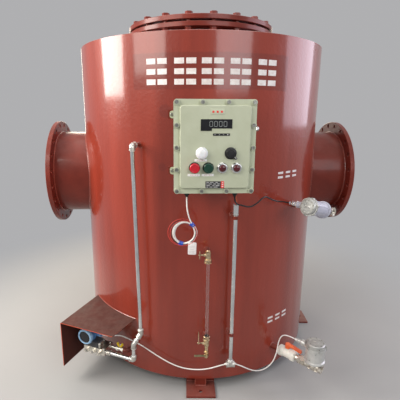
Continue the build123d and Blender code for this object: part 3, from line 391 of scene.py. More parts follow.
def hoodFinish():
    # faces turned toward the front get a bright orange: a painted highlight along the hood's front edge
    material = paint("hoodPaint", hoodPaint)
    tree = material.node_tree
    surface = next(n for n in tree.nodes if n.type == "BSDF_PRINCIPLED")
    before = surface.inputs["Base Color"].links[0].from_node
    shape = addNode(tree, "ShaderNodeNewGeometry")
    facing = addNode(tree, "ShaderNodeVectorMath", {"operation": "DOT_PRODUCT"}, {1: heading(hoodEdgeHighlight["heading"], 1.0, 0.0)})
    join(tree, shape, "True Normal", facing, 0)
    edge = mathNode(tree, "GREATER_THAN", (facing, "Value"), hoodEdgeHighlight["facing"])
    over = mixColour(tree, (edge, "Value"), (before, "Result"), hoodEdgeHighlight["colour"])
    join(tree, over, "Result", surface, "Base Color")
    return material


finish["hoodPaint"] = hoodFinish()
finish["dipSteel"] = metal("dipSteel", {"colour": (0.34, 0.32, 0.30), "deep": (0.24, 0.17, 0.13), "gloss": (0.42, 0.65), "wear": 0.2, "across": 60.0})
finish["gasket"] = plastic("gasket", {"colour": (0.07, 0.07, 0.075), "deep": (0.045, 0.045, 0.05), "gloss": (0.6, 0.8), "bump": 0.0003})
finish["foil"] = metal("foil", {"colour": (0.56, 0.56, 0.57), "deep": (0.42, 0.42, 0.43), "gloss": (0.38, 0.52), "across": 30.0, "along": 30.0, "bump": 0.0008, "toneScale": 6.0})
finish["boxPaint"] = paint("boxPaint", {
    "colour": (0.50, 0.53, 0.395), "deep": (0.455, 0.485, 0.350), "under": (0.62, 0.62, 0.56), "toneScale": 14.0, "contrast": 0.5,
    "gloss": (0.34, 0.48), "wear": 0.35, "wearWidth": 0.0025, "wearGrain": 90.0, "dust": 0.2, "bump": 0.00035, "skin": 420.0, "wave": 60.0,
    "waveAmount": 0.25})
finish["screwSteel"] = metal("screwSteel", {"colour": (0.34, 0.34, 0.31), "deep": (0.13, 0.13, 0.11), "gloss": (0.24, 0.42), "toneScale": 120.0})
finish["brightSteel"] = metal("brightSteel", {"colour": (0.72, 0.72, 0.72), "deep": (0.58, 0.58, 0.58), "gloss": (0.10, 0.22), "wear": 0.2, "bump": 0.00005})
finish["galvanised"] = metal("galvanised", {
    "colour": (0.78, 0.79, 0.78), "deep": (0.42, 0.44, 0.45), "gloss": (0.15, 0.30), "metallic": 0.95, "toneScale": 26.0, "stretch": 4.0,
    "contrast": 0.9, "across": 260.0, "along": 4.0, "bump": 0.0003, "edge": (0.85, 0.86, 0.85)})
finish["fittingZinc"] = metal("fittingZinc", {
    "colour": (0.68, 0.67, 0.62), "deep": (0.38, 0.37, 0.34), "gloss": (0.26, 0.42), "metallic": 0.9, "toneScale": 60.0, "bump": 0.0005, "across": 90.0,
    "along": 90.0})
finish["stainless"] = metal("stainless", {
    "colour": (0.80, 0.77, 0.70), "deep": (0.48, 0.45, 0.40), "gloss": (0.22, 0.36), "toneScale": 50.0, "metallic": 0.95})
finish["brass"] = metal("brass", {
    "colour": (0.76, 0.60, 0.38), "deep": (0.17, 0.105, 0.055), "gloss": (0.18, 0.34), "toneScale": 70.0, "contrast": 0.9, "edge": (0.86, 0.72, 0.46),
    "bump": 0.0004, "across": 80.0, "along": 80.0})
finish["agedBrass"] = metal("agedBrass", {
    "colour": (0.36, 0.33, 0.19), "deep": (0.17, 0.16, 0.10), "gloss": (0.38, 0.55), "toneScale": 60.0, "edge": (0.66, 0.58, 0.36), "bump": 0.0003})
finish["nickelBrass"] = metal("nickelBrass", {
    "colour": (0.82, 0.77, 0.68), "deep": (0.42, 0.36, 0.27), "gloss": (0.20, 0.34), "toneScale": 60.0, "contrast": 0.9, "bump": 0.0003})
castGrey = {
    "colour": (0.62, 0.62, 0.60), "deep": (0.48, 0.485, 0.47), "under": (0.80, 0.80, 0.77), "toneScale": 30.0, "gloss": (0.24, 0.38), "wear": 0.5,
    "metallic": 0.45, "wearWidth": 0.0015, "dust": 0.12, "bump": 0.0004, "skin": 520.0, "wave": 90.0, "waveAmount": 0.3}
finish["castGrey"] = paint("castGrey", castGrey)
finish["capGrey"] = paint("capGrey", {**castGrey, "colour": (0.44, 0.44, 0.42), "deep": (0.33, 0.33, 0.32), "under": (0.74, 0.74, 0.71)})
finish["lilacGrey"] = paint("lilacGrey", {
    "colour": (0.50, 0.50, 0.58), "deep": (0.40, 0.41, 0.50), "under": (0.72, 0.72, 0.74), "toneScale": 24.0, "gloss": (0.28, 0.42), "wear": 0.4,
    "wearWidth": 0.0015, "dust": 0.2, "bump": 0.0003, "skin": 520.0, "wave": 90.0, "waveAmount": 0.3})
finish["transmitterBlue"] = paint("transmitterBlue", {
    "colour": (0.105, 0.27, 0.56), "deep": (0.08, 0.21, 0.46), "under": (0.40, 0.56, 0.72), "toneScale": 30.0, "gloss": (0.26, 0.42), "wear": 0.7,
    "wearWidth": 0.002, "dust": 0.25, "bump": 0.0004, "skin": 500.0, "wave": 80.0, "waveAmount": 0.3})
finish["coverBlue"] = paint("coverBlue", {
    "colour": (0.30, 0.50, 0.72), "deep": (0.24, 0.43, 0.66), "under": (0.62, 0.74, 0.84), "toneScale": 30.0, "gloss": (0.26, 0.40), "wear": 0.5,
    "wearWidth": 0.002, "dust": 0.2, "bump": 0.0003, "skin": 500.0, "wave": 80.0, "waveAmount": 0.3})
finish["capsuleDark"] = paint("capsuleDark", {
    "colour": (0.055, 0.055, 0.06), "deep": (0.03, 0.03, 0.034), "under": (0.34, 0.34, 0.34), "toneScale": 40.0, "gloss": (0.35, 0.55), "wear": 0.5,
    "wearWidth": 0.0015, "dust": 0.35, "bump": 0.0004, "skin": 500.0})
finish["yellowEnamel"] = paint("yellowEnamel", {
    "colour": (0.83, 0.58, 0.03), "deep": (0.72, 0.46, 0.02), "under": (0.55, 0.52, 0.46), "toneScale": 60.0, "gloss": (0.22, 0.36), "wear": 0.4,
    "wearWidth": 0.0012, "dust": 0.15, "bump": 0.0002, "skin": 700.0})
finish["whitePlastic"] = plastic("whitePlastic", {"colour": (0.82, 0.80, 0.73), "deep": (0.74, 0.71, 0.63), "gloss": (0.28, 0.42), "coat": 0.2, "soft": 0.03})
finish["orangePlastic"] = plastic("orangePlastic", {"colour": (0.86, 0.155, 0.035), "deep": (0.74, 0.10, 0.02), "gloss": (0.3, 0.45), "coat": 0.2})
finish["blackPlastic"] = plastic("blackPlastic", {"colour": (0.014, 0.014, 0.016), "deep": (0.008, 0.008, 0.009), "gloss": (0.26, 0.42), "dust": 0.04, "specular": 0.35})
finish["redCap"] = plastic("redCap", {"colour": (0.56, 0.012, 0.026), "deep": (0.44, 0.008, 0.018), "gloss": (0.16, 0.28), "coat": 0.3, "dust": 0.03, "specular": 0.35})
finish["greenCap"] = plastic("greenCap", {"colour": (0.004, 0.048, 0.027), "deep": (0.003, 0.030, 0.018), "gloss": (0.14, 0.26), "coat": 0.25, "dust": 0.02, "specular": 0.35})
finish["whiteCap"] = plastic("whiteCap", {"colour": (0.84, 0.84, 0.85), "deep": (0.78, 0.78, 0.80), "gloss": (0.32, 0.45), "soft": 0.05})
finish["redLens"] = plastic("redLens", {"colour": (0.080, 0.003, 0.007), "deep": (0.050, 0.002, 0.004), "gloss": (0.06, 0.12), "coat": 0.3, "dust": 0.0, "specular": 0.45})
finish["whiteSheath"] = plastic("whiteSheath", {"colour": (0.82, 0.79, 0.76), "deep": (0.72, 0.68, 0.64), "gloss": (0.38, 0.5), "toneScale": 40.0, "soft": 0.02})
finish["blackSheath"] = plastic("blackSheath", {"colour": (0.012, 0.014, 0.016), "deep": (0.007, 0.008, 0.010), "gloss": (0.34, 0.48), "dust": 0.03, "specular": 0.3})
finish["redWire"] = plastic("redWire", {"colour": (0.72, 0.045, 0.035), "deep": (0.6, 0.03, 0.025), "gloss": (0.3, 0.42)})
finish["orangeWire"] = plastic("orangeWire", {"colour": (0.78, 0.20, 0.05), "deep": (0.66, 0.14, 0.03), "gloss": (0.3, 0.42)})
finish["blueTape"] = plastic("blueTape", {"colour": (0.012, 0.085, 0.56), "deep": (0.008, 0.055, 0.42), "gloss": (0.2, 0.32), "toneScale": 80.0, "coat": 0.3})
finish["paperTag"] = plastic("paperTag", {"colour": (0.84, 0.80, 0.79), "deep": (0.78, 0.72, 0.71), "gloss": (0.5, 0.65), "toneScale": 50.0})
finish["labelWhite"] = plastic("labelWhite", {"colour": (0.86, 0.86, 0.84), "deep": (0.80, 0.80, 0.78), "gloss": (0.35, 0.5)})
finish["stencilWhite"] = paint("stencilWhite", {
    "colour": (0.80, 0.77, 0.76), "deep": (0.62, 0.52, 0.50), "under": (0.30, 0.09, 0.07), "toneScale": 45.0, "contrast": 0.7, "gloss": (0.4, 0.55),
    "wear": 0.8, "wearWidth": 0.003, "wearGrain": 140.0, "dust": 0.1, "bump": 0.0002})
finish["printBlack"] = plastic("printBlack", {"colour": (0.03, 0.03, 0.03), "deep": (0.015, 0.015, 0.016), "gloss": (0.4, 0.55)})
finish["printGrey"] = plastic("printGrey", {"colour": (0.42, 0.42, 0.42), "deep": (0.34, 0.34, 0.34), "gloss": (0.4, 0.55)})
finish["labelInk"] = plastic("labelInk", {"colour": (0.62, 0.30, 0.28), "deep": (0.52, 0.24, 0.22), "gloss": (0.4, 0.55)})
finish["printRed"] = plastic("printRed", {"colour": (0.78, 0.045, 0.035), "deep": (0.68, 0.03, 0.025), "gloss": (0.36, 0.5)})


def glassFinish(name, colour, roughness, alpha):
    material, tree, surface = startMaterial(name)
    tone = useGroup(tree, toneShift, Scale=40.0, Contrast=0.4, Stretch=3.0)
    body = mixColour(tree, (tone, "Mask"), colour, tuple(min(1.0, c * 1.05) for c in colour))
    join(tree, body, "Result", surface, "Base Color")
    roughnessFrom(tree, surface, tone, "Mask", roughness, roughness + 0.012)
    surface.inputs["Transmission Weight"].default_value = alpha
    surface.inputs["IOR"].default_value = 1.47
    return material


finish["clearGlass"] = glassFinish("clearGlass", (0.95, 0.96, 0.955), 0.0, 1.0)
finish["water"] = glassFinish("water", (0.80, 0.86, 0.84), 0.0, 1.0)
finish["darkWindow"] = plastic("darkWindow", {"colour": (0.012, 0.012, 0.015), "deep": (0.008, 0.008, 0.010), "gloss": (0.06, 0.12), "coat": 0.0, "dust": 0.02, "specular": 0.35})


def litFinish(name, colour, strength):
    material, tree, surface = startMaterial(name)
    tone = useGroup(tree, toneShift, Scale=80.0, Contrast=0.3, Stretch=1.0)
    body = mixColour(tree, (tone, "Mask"), tuple(c * 0.85 for c in colour), colour)
    join(tree, body, "Result", surface, "Base Color")
    join(tree, body, "Result", surface, "Emission Color")
    surface.inputs["Emission Strength"].default_value = strength
    return material


finish["displaySegment"] = litFinish("displaySegment", (0.20, 0.22, 0.21), 0.10)
print("materials:", len(finish))

nodeFinish = {
    "shellPaint": ["shell"],
    "shadedRedPaint": ["top_head", "bottom_plate", "shell_stubs", "feet", "inlet_nozzle", "inlet_flange", "outlet_nozzle", "outlet_flange",
                 "relief_neck", "relief_lower_flange", "relief_upper_flange", "relief_bolts", "relief_nuts", "conduit_clamps", "box_bracket"],
    "hoodPaint": ["instrument_hood"], "dipSteel": ["dip_pipe"], "gasket": ["relief_gaskets"], "foil": ["relief_membrane"],
    "boxPaint": ["box_body", "box_lid"], "screwSteel": ["lid_bolts"], "darkWindow": ["display_window"],
    "blackPlastic": ["key_strip", "selector_knob", "cable_glands"], "whiteCap": ["white_lamp"], "redLens": ["red_lamps"],
    "redCap": ["red_button"], "greenCap": ["green_button"], "galvanised": ["sense_pipes", "conduit_pipe"],
    "fittingZinc": ["sense_elbows", "conduit_tee"], "transmitterBlue": ["transmitter_body"], "coverBlue": ["transmitter_covers"],
    "capsuleDark": ["transmitter_capsule"], "stainless": ["valve_manifold", "low_tap_valve"], "yellowEnamel": ["low_tap_handle"],
    "brass": ["gauge_upper_cock", "gauge_lower_cock", "gauge_upper_lever", "gauge_lower_lever"], "agedBrass": ["gauge_drain_lever"],
    "nickelBrass": ["inlet_valve", "outlet_valve"], "clearGlass": ["gauge_glass"], "lilacGrey": ["inlet_actuator"],
    "castGrey": ["outlet_actuator"], "capGrey": ["inlet_actuator_cover", "outlet_actuator_cover"], "whitePlastic": ["plastic_valve"],
    "orangePlastic": ["plastic_lever"], "whiteSheath": ["lead_cord", "lead_coil", "signal_cord", "outlet_cord"], "blackSheath": ["black_cord"],
}
for finishName, nodeNames in nodeFinish.items():
    for nodeName in nodeNames:
        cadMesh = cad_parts[nodeName].data
        cadMesh.materials.clear()
        cadMesh.materials.append(finish[finishName])


# ---- mesh helpers

def frameAt(origin, zDir, xDir=(1, 0, 0)):
    # a matrix with its Z axis along zDir and its X axis as near xDir as may be
    up = Vector(zDir).normalized()
    side = Vector(xDir) - up * up.dot(Vector(xDir))
    if side.length < 1e-6:
        side = up.orthogonal()
    side.normalize()
    across = up.cross(side)
    matrix = Matrix((side, across, up)).transposed().to_4x4()
    matrix.translation = Vector(origin)
    return matrix


class Maker:
    # gathers several forms in one mesh, then makes it a piece that rides on a body
    def __init__(self):
        self.verts, self.faces = [], []

    def add(self, verts, faces, matrix=None):
        start = len(self.verts)
        self.verts += [matrix @ Vector(v) if matrix else Vector(v) for v in verts]
        self.faces += [tuple(start + i for i in face) for face in faces]

    def lathe(self, profile, matrix, sides=32, turn=0.0, shape=None):
        # profile: (radius, height) from the bottom's middle to the top's middle
        verts, faces, rings = [], [], []
        for radius, height in profile:
            if radius < 1e-7:
                rings.append([len(verts)])
                verts.append((0, 0, height))
                continue
            ring = []
            for k in range(sides):
                angle = 2 * math.pi * k / sides + turn
                reach = radius * (shape(k, height) if shape else 1.0)
                ring.append(len(verts))
                verts.append((reach * math.cos(angle), reach * math.sin(angle), height))
            rings.append(ring)
        for low, high in zip(rings, rings[1:]):
            for k in range(sides):
                n = (k + 1) % sides
                if len(low) == 1 and len(high) == 1:
                    continue
                if len(low) == 1:
                    faces.append((low[0], high[n], high[k]))
                elif len(high) == 1:
                    faces.append((low[k], low[n], high[0]))
                else:
                    faces.append((low[k], low[n], high[n], high[k]))
        self.add(verts, faces, matrix)

    def plate(self, width, height, thick, corner, matrix, soft=0.0006, steps=4):
        # a plate with round corners and a soft front edge, its back on the matrix's XY plane
        def outline(inset, level):
            ring = []
            radius = max(corner - inset, 0.0001)
            for cx, cy, start in ((1, 1, 0), (-1, 1, 90), (-1, -1, 180), (1, -1, 270)):
                for k in range(steps + 1):
                    angle = math.radians(start + 90 * k / steps)
                    ring.append((cx * (width / 2 - corner) + radius * math.cos(angle), cy * (height / 2 - corner) + radius * math.sin(angle), level))
            return ring
        soft = min(soft, thick * 0.5)
        rings = [outline(0, 0), outline(0, thick - soft), outline(soft * 0.3, thick - soft * 0.3), outline(soft, thick)]
        count = len(rings[0])
        verts = [v for ring in rings for v in ring]
        faces = [(a * count + k, a * count + (k + 1) % count, (a + 1) * count + (k + 1) % count, (a + 1) * count + k)
                 for a in range(3) for k in range(count)]
        faces.append(tuple(reversed(range(count))))
        faces.append(tuple(3 * count + k for k in range(count)))
        self.add(verts, faces, matrix)

    def sweep(self, points, radius, sides=8, closed=False, ripple=None, squash=1.0, outward=None):
        # a round bead along points; ripple(k) scales its radius
        points = [Vector(p) for p in points]
        count = len(points)
        verts, faces = [], []
        for k, point in enumerate(points):
            before = points[k - 1] if k or closed else point
            after = points[(k + 1) % count] if k < count - 1 or closed else point
            along = (after - before).normalized()
            out = Vector(outward(point)) if outward else along.orthogonal()
            out = (out - along * along.dot(out)).normalized()
            side = along.cross(out)
            size = radius * (ripple(k) if ripple else 1.0)
            for s in range(sides):
                angle = 2 * math.pi * s / sides
                verts.append(point + out * (math.cos(angle) * size * squash) + side * (math.sin(angle) * size))
        spans = count if closed else count - 1
        for k in range(spans):
            n = (k + 1) % count
            for s in range(sides):
                t = (s + 1) % sides
                faces.append((k * sides + s, k * sides + t, n * sides + t, n * sides + s))
        if not closed:
            faces.append(tuple(reversed(range(sides))))
            faces.append(tuple((count - 1) * sides + s for s in range(sides)))
        self.add(verts, faces)

    def piece(self, name, finishName, body=vesselBody, sharp=40):
        mesh = bpy.data.meshes.new(name)
        mesh.from_pydata([tuple(v) for v in self.verts], [], self.faces)
        mesh.validate()
        work = bmesh.new()
        work.from_mesh(mesh)
        bmesh.ops.recalc_face_normals(work, faces=work.faces)
        work.to_mesh(mesh)
        work.free()
        mesh.shade_smooth()
        mesh.set_sharp_from_angle(angle=math.radians(sharp))
        mesh.materials.append(finish[finishName])
        thing = bpy.data.objects.new(name, mesh)
        bpy.context.scene.collection.objects.link(thing)
        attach(thing, body)
        return thing


# ---- camera, light and floor

cameraValues = {"spot": (-0.21885, -2.53223, 1.53393), "yaw": 0.0516, "pitch": 0.2315, "roll": 0.0042, "lens": 32.849,
                "shiftX": 0.035, "shiftY": -0.0025}


def setCamera():
    data = bpy.data.cameras.new("photoCamera")
    data.lens = cameraValues["lens"]
    data.sensor_width = 36.0
    data.shift_x = cameraValues["shiftX"]
    data.shift_y = cameraValues["shiftY"]
    data.clip_end = 60.0
    camera = bpy.data.objects.new("photoCamera", data)
    turn = (Matrix.Rotation(-cameraValues["yaw"], 4, "Z") @ Matrix.Rotation(math.pi / 2 - cameraValues["pitch"], 4, "X")
            @ Matrix.Rotation(cameraValues["roll"], 4, "Z"))
    camera.matrix_world = Matrix.Translation(Vector(cameraValues["spot"])) @ turn
    bpy.context.scene.collection.objects.link(camera)
    bpy.context.scene.camera = camera
    return camera


# each lamp: angle round the vessel, distance, height of its middle, width, height, watts, colour
lampValues = {
    "leftWindow": (-81, 3.2, 2.60, 1.45, 1.9, 150, (1.0, 0.94, 0.88)),
    "rightWindow": (88, 3.6, 2.3, 2.6, 2.0, 62, (0.88, 0.85, 1.0)),
    "frontLeft": (-46, 4.2, 3.1, 2.2, 2.2, 95, (1.0, 0.95, 0.88)),
    "frontRight": (22, 4.6, 2.9, 2.4, 2.2, 66, (0.98, 0.98, 1.0)),
    "rimLeft": (-158, 3.4, 1.9, 1.0, 2.4, 42, (1.0, 0.90, 0.72)),
    "rimRight": (156, 3.4, 1.9, 1.0, 2.4, 42, (1.0, 0.90, 0.72)),
}
overheadValues = {"height": 4.4, "size": 3.2, "watts": 60}
roomValues = {"ambient": 0.30, "backdrop": (0.43, 0.43, 0.44), "floor": (0.35, 0.35, 0.345), "near": 1.25, "far": 2.7}


def addLamp(name, spot, aim, width, height, watts, colour):
    data = bpy.data.lights.new(name, "AREA")
    data.shape = "RECTANGLE"
    data.size, data.size_y = width, height
    data.energy = watts
    data.color = colour
    lamp = bpy.data.objects.new(name, data)
    lamp.matrix_world = frameAt(spot, Vector(spot) - Vector(aim), (0, 0, 1) if name == "overhead" else Vector((0, 0, 1)).cross(Vector(spot)))
    lamp.visible_camera = False
    bpy.context.scene.collection.objects.link(lamp)


def setStage():
    for name, (angle, away, height, width, tall, watts, colour) in lampValues.items():
        spot = heading(angle, away, height)
        addLamp(name, spot, (0, 0, 1.1), width, tall, watts, colour)
    addLamp("overhead", (0.0, -0.6, overheadValues["height"]), (0, -0.3, 0), overheadValues["size"], overheadValues["size"],
            overheadValues["watts"], (1, 1, 1))
    world = bpy.data.worlds.new("studio")
    bpy.context.scene.world = world
    world.use_nodes = True
    tree = world.node_tree
    tree.nodes.clear()
    path = addNode(tree, "ShaderNodeLightPath")
    mirrored = mathNode(tree, "MAXIMUM", (path, "Is Glossy Ray"), (path, "Is Transmission Ray"), clamp=True)
    seen = mathNode(tree, "MAXIMUM", (path, "Is Camera Ray"), (mirrored, "Value"), clamp=True)
    room = addNode(tree, "ShaderNodeBackground", None, {"Color": (1, 1, 1, 1), "Strength": roomValues["ambient"]})
    behind = addNode(tree, "ShaderNodeBackground", None, {"Color": (*roomValues["backdrop"], 1), "Strength": 1.0})
    mixed = addNode(tree, "ShaderNodeMixShader")
    output = addNode(tree, "ShaderNodeOutputWorld")
    join(tree, seen, "Value", mixed, 0)
    tree.links.new(room.outputs[0], mixed.inputs[1])
    tree.links.new(behind.outputs[0], mixed.inputs[2])
    join(tree, mixed, 0, output, "Surface")
    mesh = bpy.data.meshes.new("floor")
    reach = 24.0
    mesh.from_pydata([(-reach, -reach, -0.0005), (reach, -reach, -0.0005), (reach, reach, -0.0005), (-reach, reach, -0.0005)], [], [(0, 1, 2, 3)])
    floor = bpy.data.objects.new("floor", mesh)
    material, floorTree, surface = startMaterial("floorPale")
    tone = useGroup(floorTree, toneShift, Scale=0.8, Contrast=0.3, Stretch=1.0)
    body = mixColour(floorTree, (tone, "Mask"), tuple(c * 0.97 for c in roomValues["floor"]), roomValues["floor"])
    join(floorTree, body, "Result", surface, "Base Color")
    surface.inputs["Roughness"].default_value = 0.75
    surface.inputs["Specular IOR Level"].default_value = 0.2
    # the lit floor near the vessel, with its shadow, goes over into the backdrop's colour further out
    where = addNode(floorTree, "ShaderNodeNewGeometry")
    flat = addNode(floorTree, "ShaderNodeVectorMath", {"operation": "LENGTH"})
    far = addNode(floorTree, "ShaderNodeMapRange", {"interpolation_type": "SMOOTHSTEP"},
                  {"From Min": roomValues["near"], "From Max": roomValues["far"]})
    floorPath = addNode(floorTree, "ShaderNodeLightPath")
    floorMirrored = mathNode(floorTree, "MAXIMUM", (floorPath, "Is Glossy Ray"), (floorPath, "Is Transmission Ray"), clamp=True)
    floorSeen = mathNode(floorTree, "MAXIMUM", (floorPath, "Is Camera Ray"), (floorMirrored, "Value"), clamp=True)
    glow = addNode(floorTree, "ShaderNodeEmission", None, {"Color": (*roomValues["backdrop"], 1), "Strength": 1.0})
    blend = addNode(floorTree, "ShaderNodeMixShader")
    join(floorTree, where, "Position", flat, 0)
    join(floorTree, flat, "Value", far, "Value")
    share = mathNode(floorTree, "MULTIPLY", (far, "Result"), (floorSeen, "Value"))
    join(floorTree, share, "Value", blend, 0)
    floorTree.links.new(surface.outputs[0], blend.inputs[1])
    floorTree.links.new(glow.outputs[0], blend.inputs[2])
    floorOutput = next(n for n in floorTree.nodes if n.type == "OUTPUT_MATERIAL")
    floorTree.links.new(blend.outputs[0], floorOutput.inputs["Surface"])
    mesh.materials.append(material)
    bpy.context.scene.collection.objects.link(floor)
    scene = bpy.context.scene
    scene.view_settings.view_transform = "Standard"


setCamera()
setStage()
print("camera and light set")


# ---- cords, each along the points of its route in the part's source

cordValues = {
    "lead": {"radius": 0.0032, "route": [(-129, -860, 1153), (-129, -860, 1119), (-127, -863, 1088), (-121, -862, 1061), (-115, -858, 1040)]},
    "coil": {"centre": (-142, -850, 968), "turns": 5, "radius": 55.0, "pointsPerTurn": 14, "startAngle": 62.0},
    "black": {"radius": 0.0035, "route": [
        (98, -860, 1153), (98, -860, 1131), (110, -864, 1112), (137, -866, 1107), (163, -864, 1098),
        (189, -859, 1102), (216, -849, 1118), (240, -832, 1135), (262, -806, 1136), (288, -771, 1120),
        (318, -737, 1102), (346, -712, 1089), (370, -699, 1084), (388, -706, 1084), (408.3, -730.4, 1083.9)]},
    "signal": {"radius": 0.0032, "route": [
        (95, -800, 191), (56, -800, 181), (14, -797, 165), (-36, -789, 151), (-92, -776, 144),
        (-150, -764, 148), (-206, -748, 163), (-262, -730, 187), (-316, -706, 211), (-368, -680, 233),
        (-418, -655, 247), (-462, -632, 256), (-499, -618, 264), (-530, -630, 273), (-556, -647, 282),
        (-580, -651.6, 287.5), (-604.55, -640.2, 288)]},
    "outlet": {"radius": 0.0032, "route": [
        (141, -800, 191), (176, -800, 178), (214, -789, 150), (254, -773, 122), (298, -757, 106),
        (342, -742, 113), (376, -731, 138), (396, -721, 176), (405, -712, 213), (411, -705, 244),
        (420, -698, 268), (434, -694, 286), (452, -702, 294), (472.3, -716.6, 294), (492.7, -738.6, 294)]},
}
wireValues = {"radius": 0.0011, "turns": 3}


def cordPiece(name, points, radius, finishName):
    curve = bpy.data.curves.new(name, "CURVE")
    curve.dimensions = "3D"
    curve.bevel_depth = radius
    curve.bevel_resolution = 4
    curve.resolution_u = 6
    curve.use_fill_caps = True
    spline = curve.splines.new("NURBS")
    spline.points.add(len(points) - 1)
    for point, where in zip(spline.points, points):
        point.co = (where[0] / 1000, where[1] / 1000, where[2] / 1000, 1.0)
    spline.order_u = 3
    spline.use_endpoint_u = True
    curve.materials.append(finish[finishName])
    thing = bpy.data.objects.new(name, curve)
    bpy.context.scene.collection.objects.link(thing)
    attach(thing, vesselBody)
    return thing


def splineLength(thing):
    # the length of the cord's own line
    bare = thing.data.copy()
    bare.bevel_depth = 0.0
    probe = bpy.data.objects.new("probe", bare)
    line = bpy.data.meshes.new_from_object(probe)
    points = [v.co.copy() for v in line.vertices]
    total = sum((b - a).length for a, b in zip(points, points[1:]))
    bpy.data.meshes.remove(line)
    bpy.data.objects.remove(probe)
    bpy.data.curves.remove(bare)
    return total


def coilPoints():
    # the lead's turns, from where it comes in at the upper right, clockwise as seen from the front
    values = cordValues["coil"]
    cx, cy, cz = values["centre"]
    slots = [(-3.4, -3.4), (3.4, -3.4), (3.4, 3.4), (-3.4, 3.4), (-3.0, -1.0), (2.0, 0.0)]
    count = values["turns"] * values["pointsPerTurn"]
    points = []
    for k in range(2, count + 1):
        turn = k / values["pointsPerTurn"]
        slot = int(turn)
        part = turn - slot
        first, second = slots[min(slot, 5)], slots[min(slot + 1, 5)]
        out = first[0] + (second[0] - first[0]) * part
        deep = first[1] + (second[1] - first[1]) * part
        angle = math.radians(values["startAngle"] - 360 * turn)
        wander = 1.6 * math.sin(2 * angle + slot * 1.7) + 0.9 * math.sin(3 * angle + slot)
        reach = values["radius"] + out + wander
        points.append((cx + 4 + reach * math.cos(angle), cy + deep, cz + reach * math.sin(angle)))
    return points


lead = cordPiece("leadCable", cordValues["lead"]["route"] + coilPoints(), cordValues["lead"]["radius"], "whiteSheath")
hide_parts("lead_cord", "lead_coil")
blackCable = cordPiece("blackCable", cordValues["black"]["route"], cordValues["black"]["radius"], "blackSheath")
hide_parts("black_cord")
signalCable = cordPiece("signalCable", cordValues["signal"]["route"], cordValues["signal"]["radius"], "whiteSheath")
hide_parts("signal_cord")
outletCable = cordPiece("outletCable", cordValues["outlet"]["route"], cordValues["outlet"]["radius"], "whiteSheath")
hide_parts("outlet_cord")
freeCords = [
    (lead, (-0.129, -0.860, 1.153), 1.82, 0.0064, "bare", "coiled"), (blackCable, (0.098, -0.860, 1.153), 0.434, 0.007, "object", "loose"),
    (signalCable, (0.095, -0.800, 0.191), 0.768, 0.0064, "object", "loose"), (outletCable, (0.141, -0.800, 0.191), 0.514, 0.0064, "object", "loose"),
]
for thing, leaves, length, diameter, farEnd, lay in freeCords:
    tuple(leaves)
for label, thing in (("lead", lead), ("black", blackCable), ("signal", signalCable), ("outlet", outletCable)):
    print("cord", label, round(splineLength(thing), 4))
print("cords laid")


# ---- weld beads

weldValues = {"radius": 0.0042, "pitch": 0.0045, "rough": 0.16}


def weldRipple(seed):
    return lambda k: 1.0 + weldValues["rough"] * math.sin(k * 1.9) + 0.5 * weldValues["rough"] * noise.noise(Vector((k * 0.31, seed, 0)))


def addBead(maker, points, radius=None, closed=False, seed=0.0, sides=6):
    # evenly spaced points along the joint, so that the ripples keep one size
    points = [Vector(p) for p in points]
    if closed:
        points.append(points[0])
    lengths = [(b - a).length for a, b in zip(points, points[1:])]
    total = sum(lengths)
    steps = max(4, int(total / weldValues["pitch"]))
    even, index, gone = [], 0, 0.0
    for k in range(steps + (0 if closed else 1)):
        want = total * k / steps
        while index < len(lengths) - 1 and gone + lengths[index] < want:
            gone += lengths[index]
            index += 1
        share = (want - gone) / max(lengths[index], 1e-9)
        even.append(points[index].lerp(points[index + 1], min(share, 1.0)))
    maker.sweep(even, radius or weldValues["radius"], sides, closed, weldRipple(seed))


def circlePoints(radius, level, count=120):
    return [(radius * math.cos(2 * math.pi * k / count), radius * math.sin(2 * math.pi * k / count), level) for k in range(count)]


def ringOnShell(angle, level, radius, count=24, lean=0.0):
    # where a round bar from the vessel's axis meets the shell
    middle = heading(angle, place["shellRadius"], level)
    side = Vector((math.cos(math.radians(angle)), math.sin(math.radians(angle)), 0))
    points = []
    for k in range(count):
        turn = 2 * math.pi * k / count
        spot = middle + side * (radius * math.cos(turn)) + Vector((0, 0, radius * math.sin(turn)))
        flat = Vector((spot.x, spot.y, 0))
        flat = flat.normalized() * (place["shellRadius"] + 0.0008)
        points.append((flat.x, flat.y, spot.z))
    return points


def saddlePoints(side, radius, count=160):
    points = []
    for k in range(count):
        turn = 2 * math.pi * k / count
        y = radius * math.cos(turn)
        points.append((side * math.sqrt(place["shellRadius"] ** 2 - y * y), y, place["nozzleHeight"] + radius * math.sin(turn)))
    return points


hoodCorner = heading(-52, 1.0558)
hoodAcross, hoodOut = heading(65), heading(-25)


def hoodPoint(across, back, level):
    return hoodCorner + hoodAcross * across - hoodOut * back + Vector((0, 0, level))


def hoodMeetsShell(across, level):
    # how far back a line from the hood's front edge meets the shell
    start = hoodPoint(across, 0, 0)
    half = start.dot(hoodOut)
    under = half * half - start.length_squared + place["shellRadius"] ** 2
    return hoodPoint(across, half - math.sqrt(max(under, 0)), level) if under > 0 else None


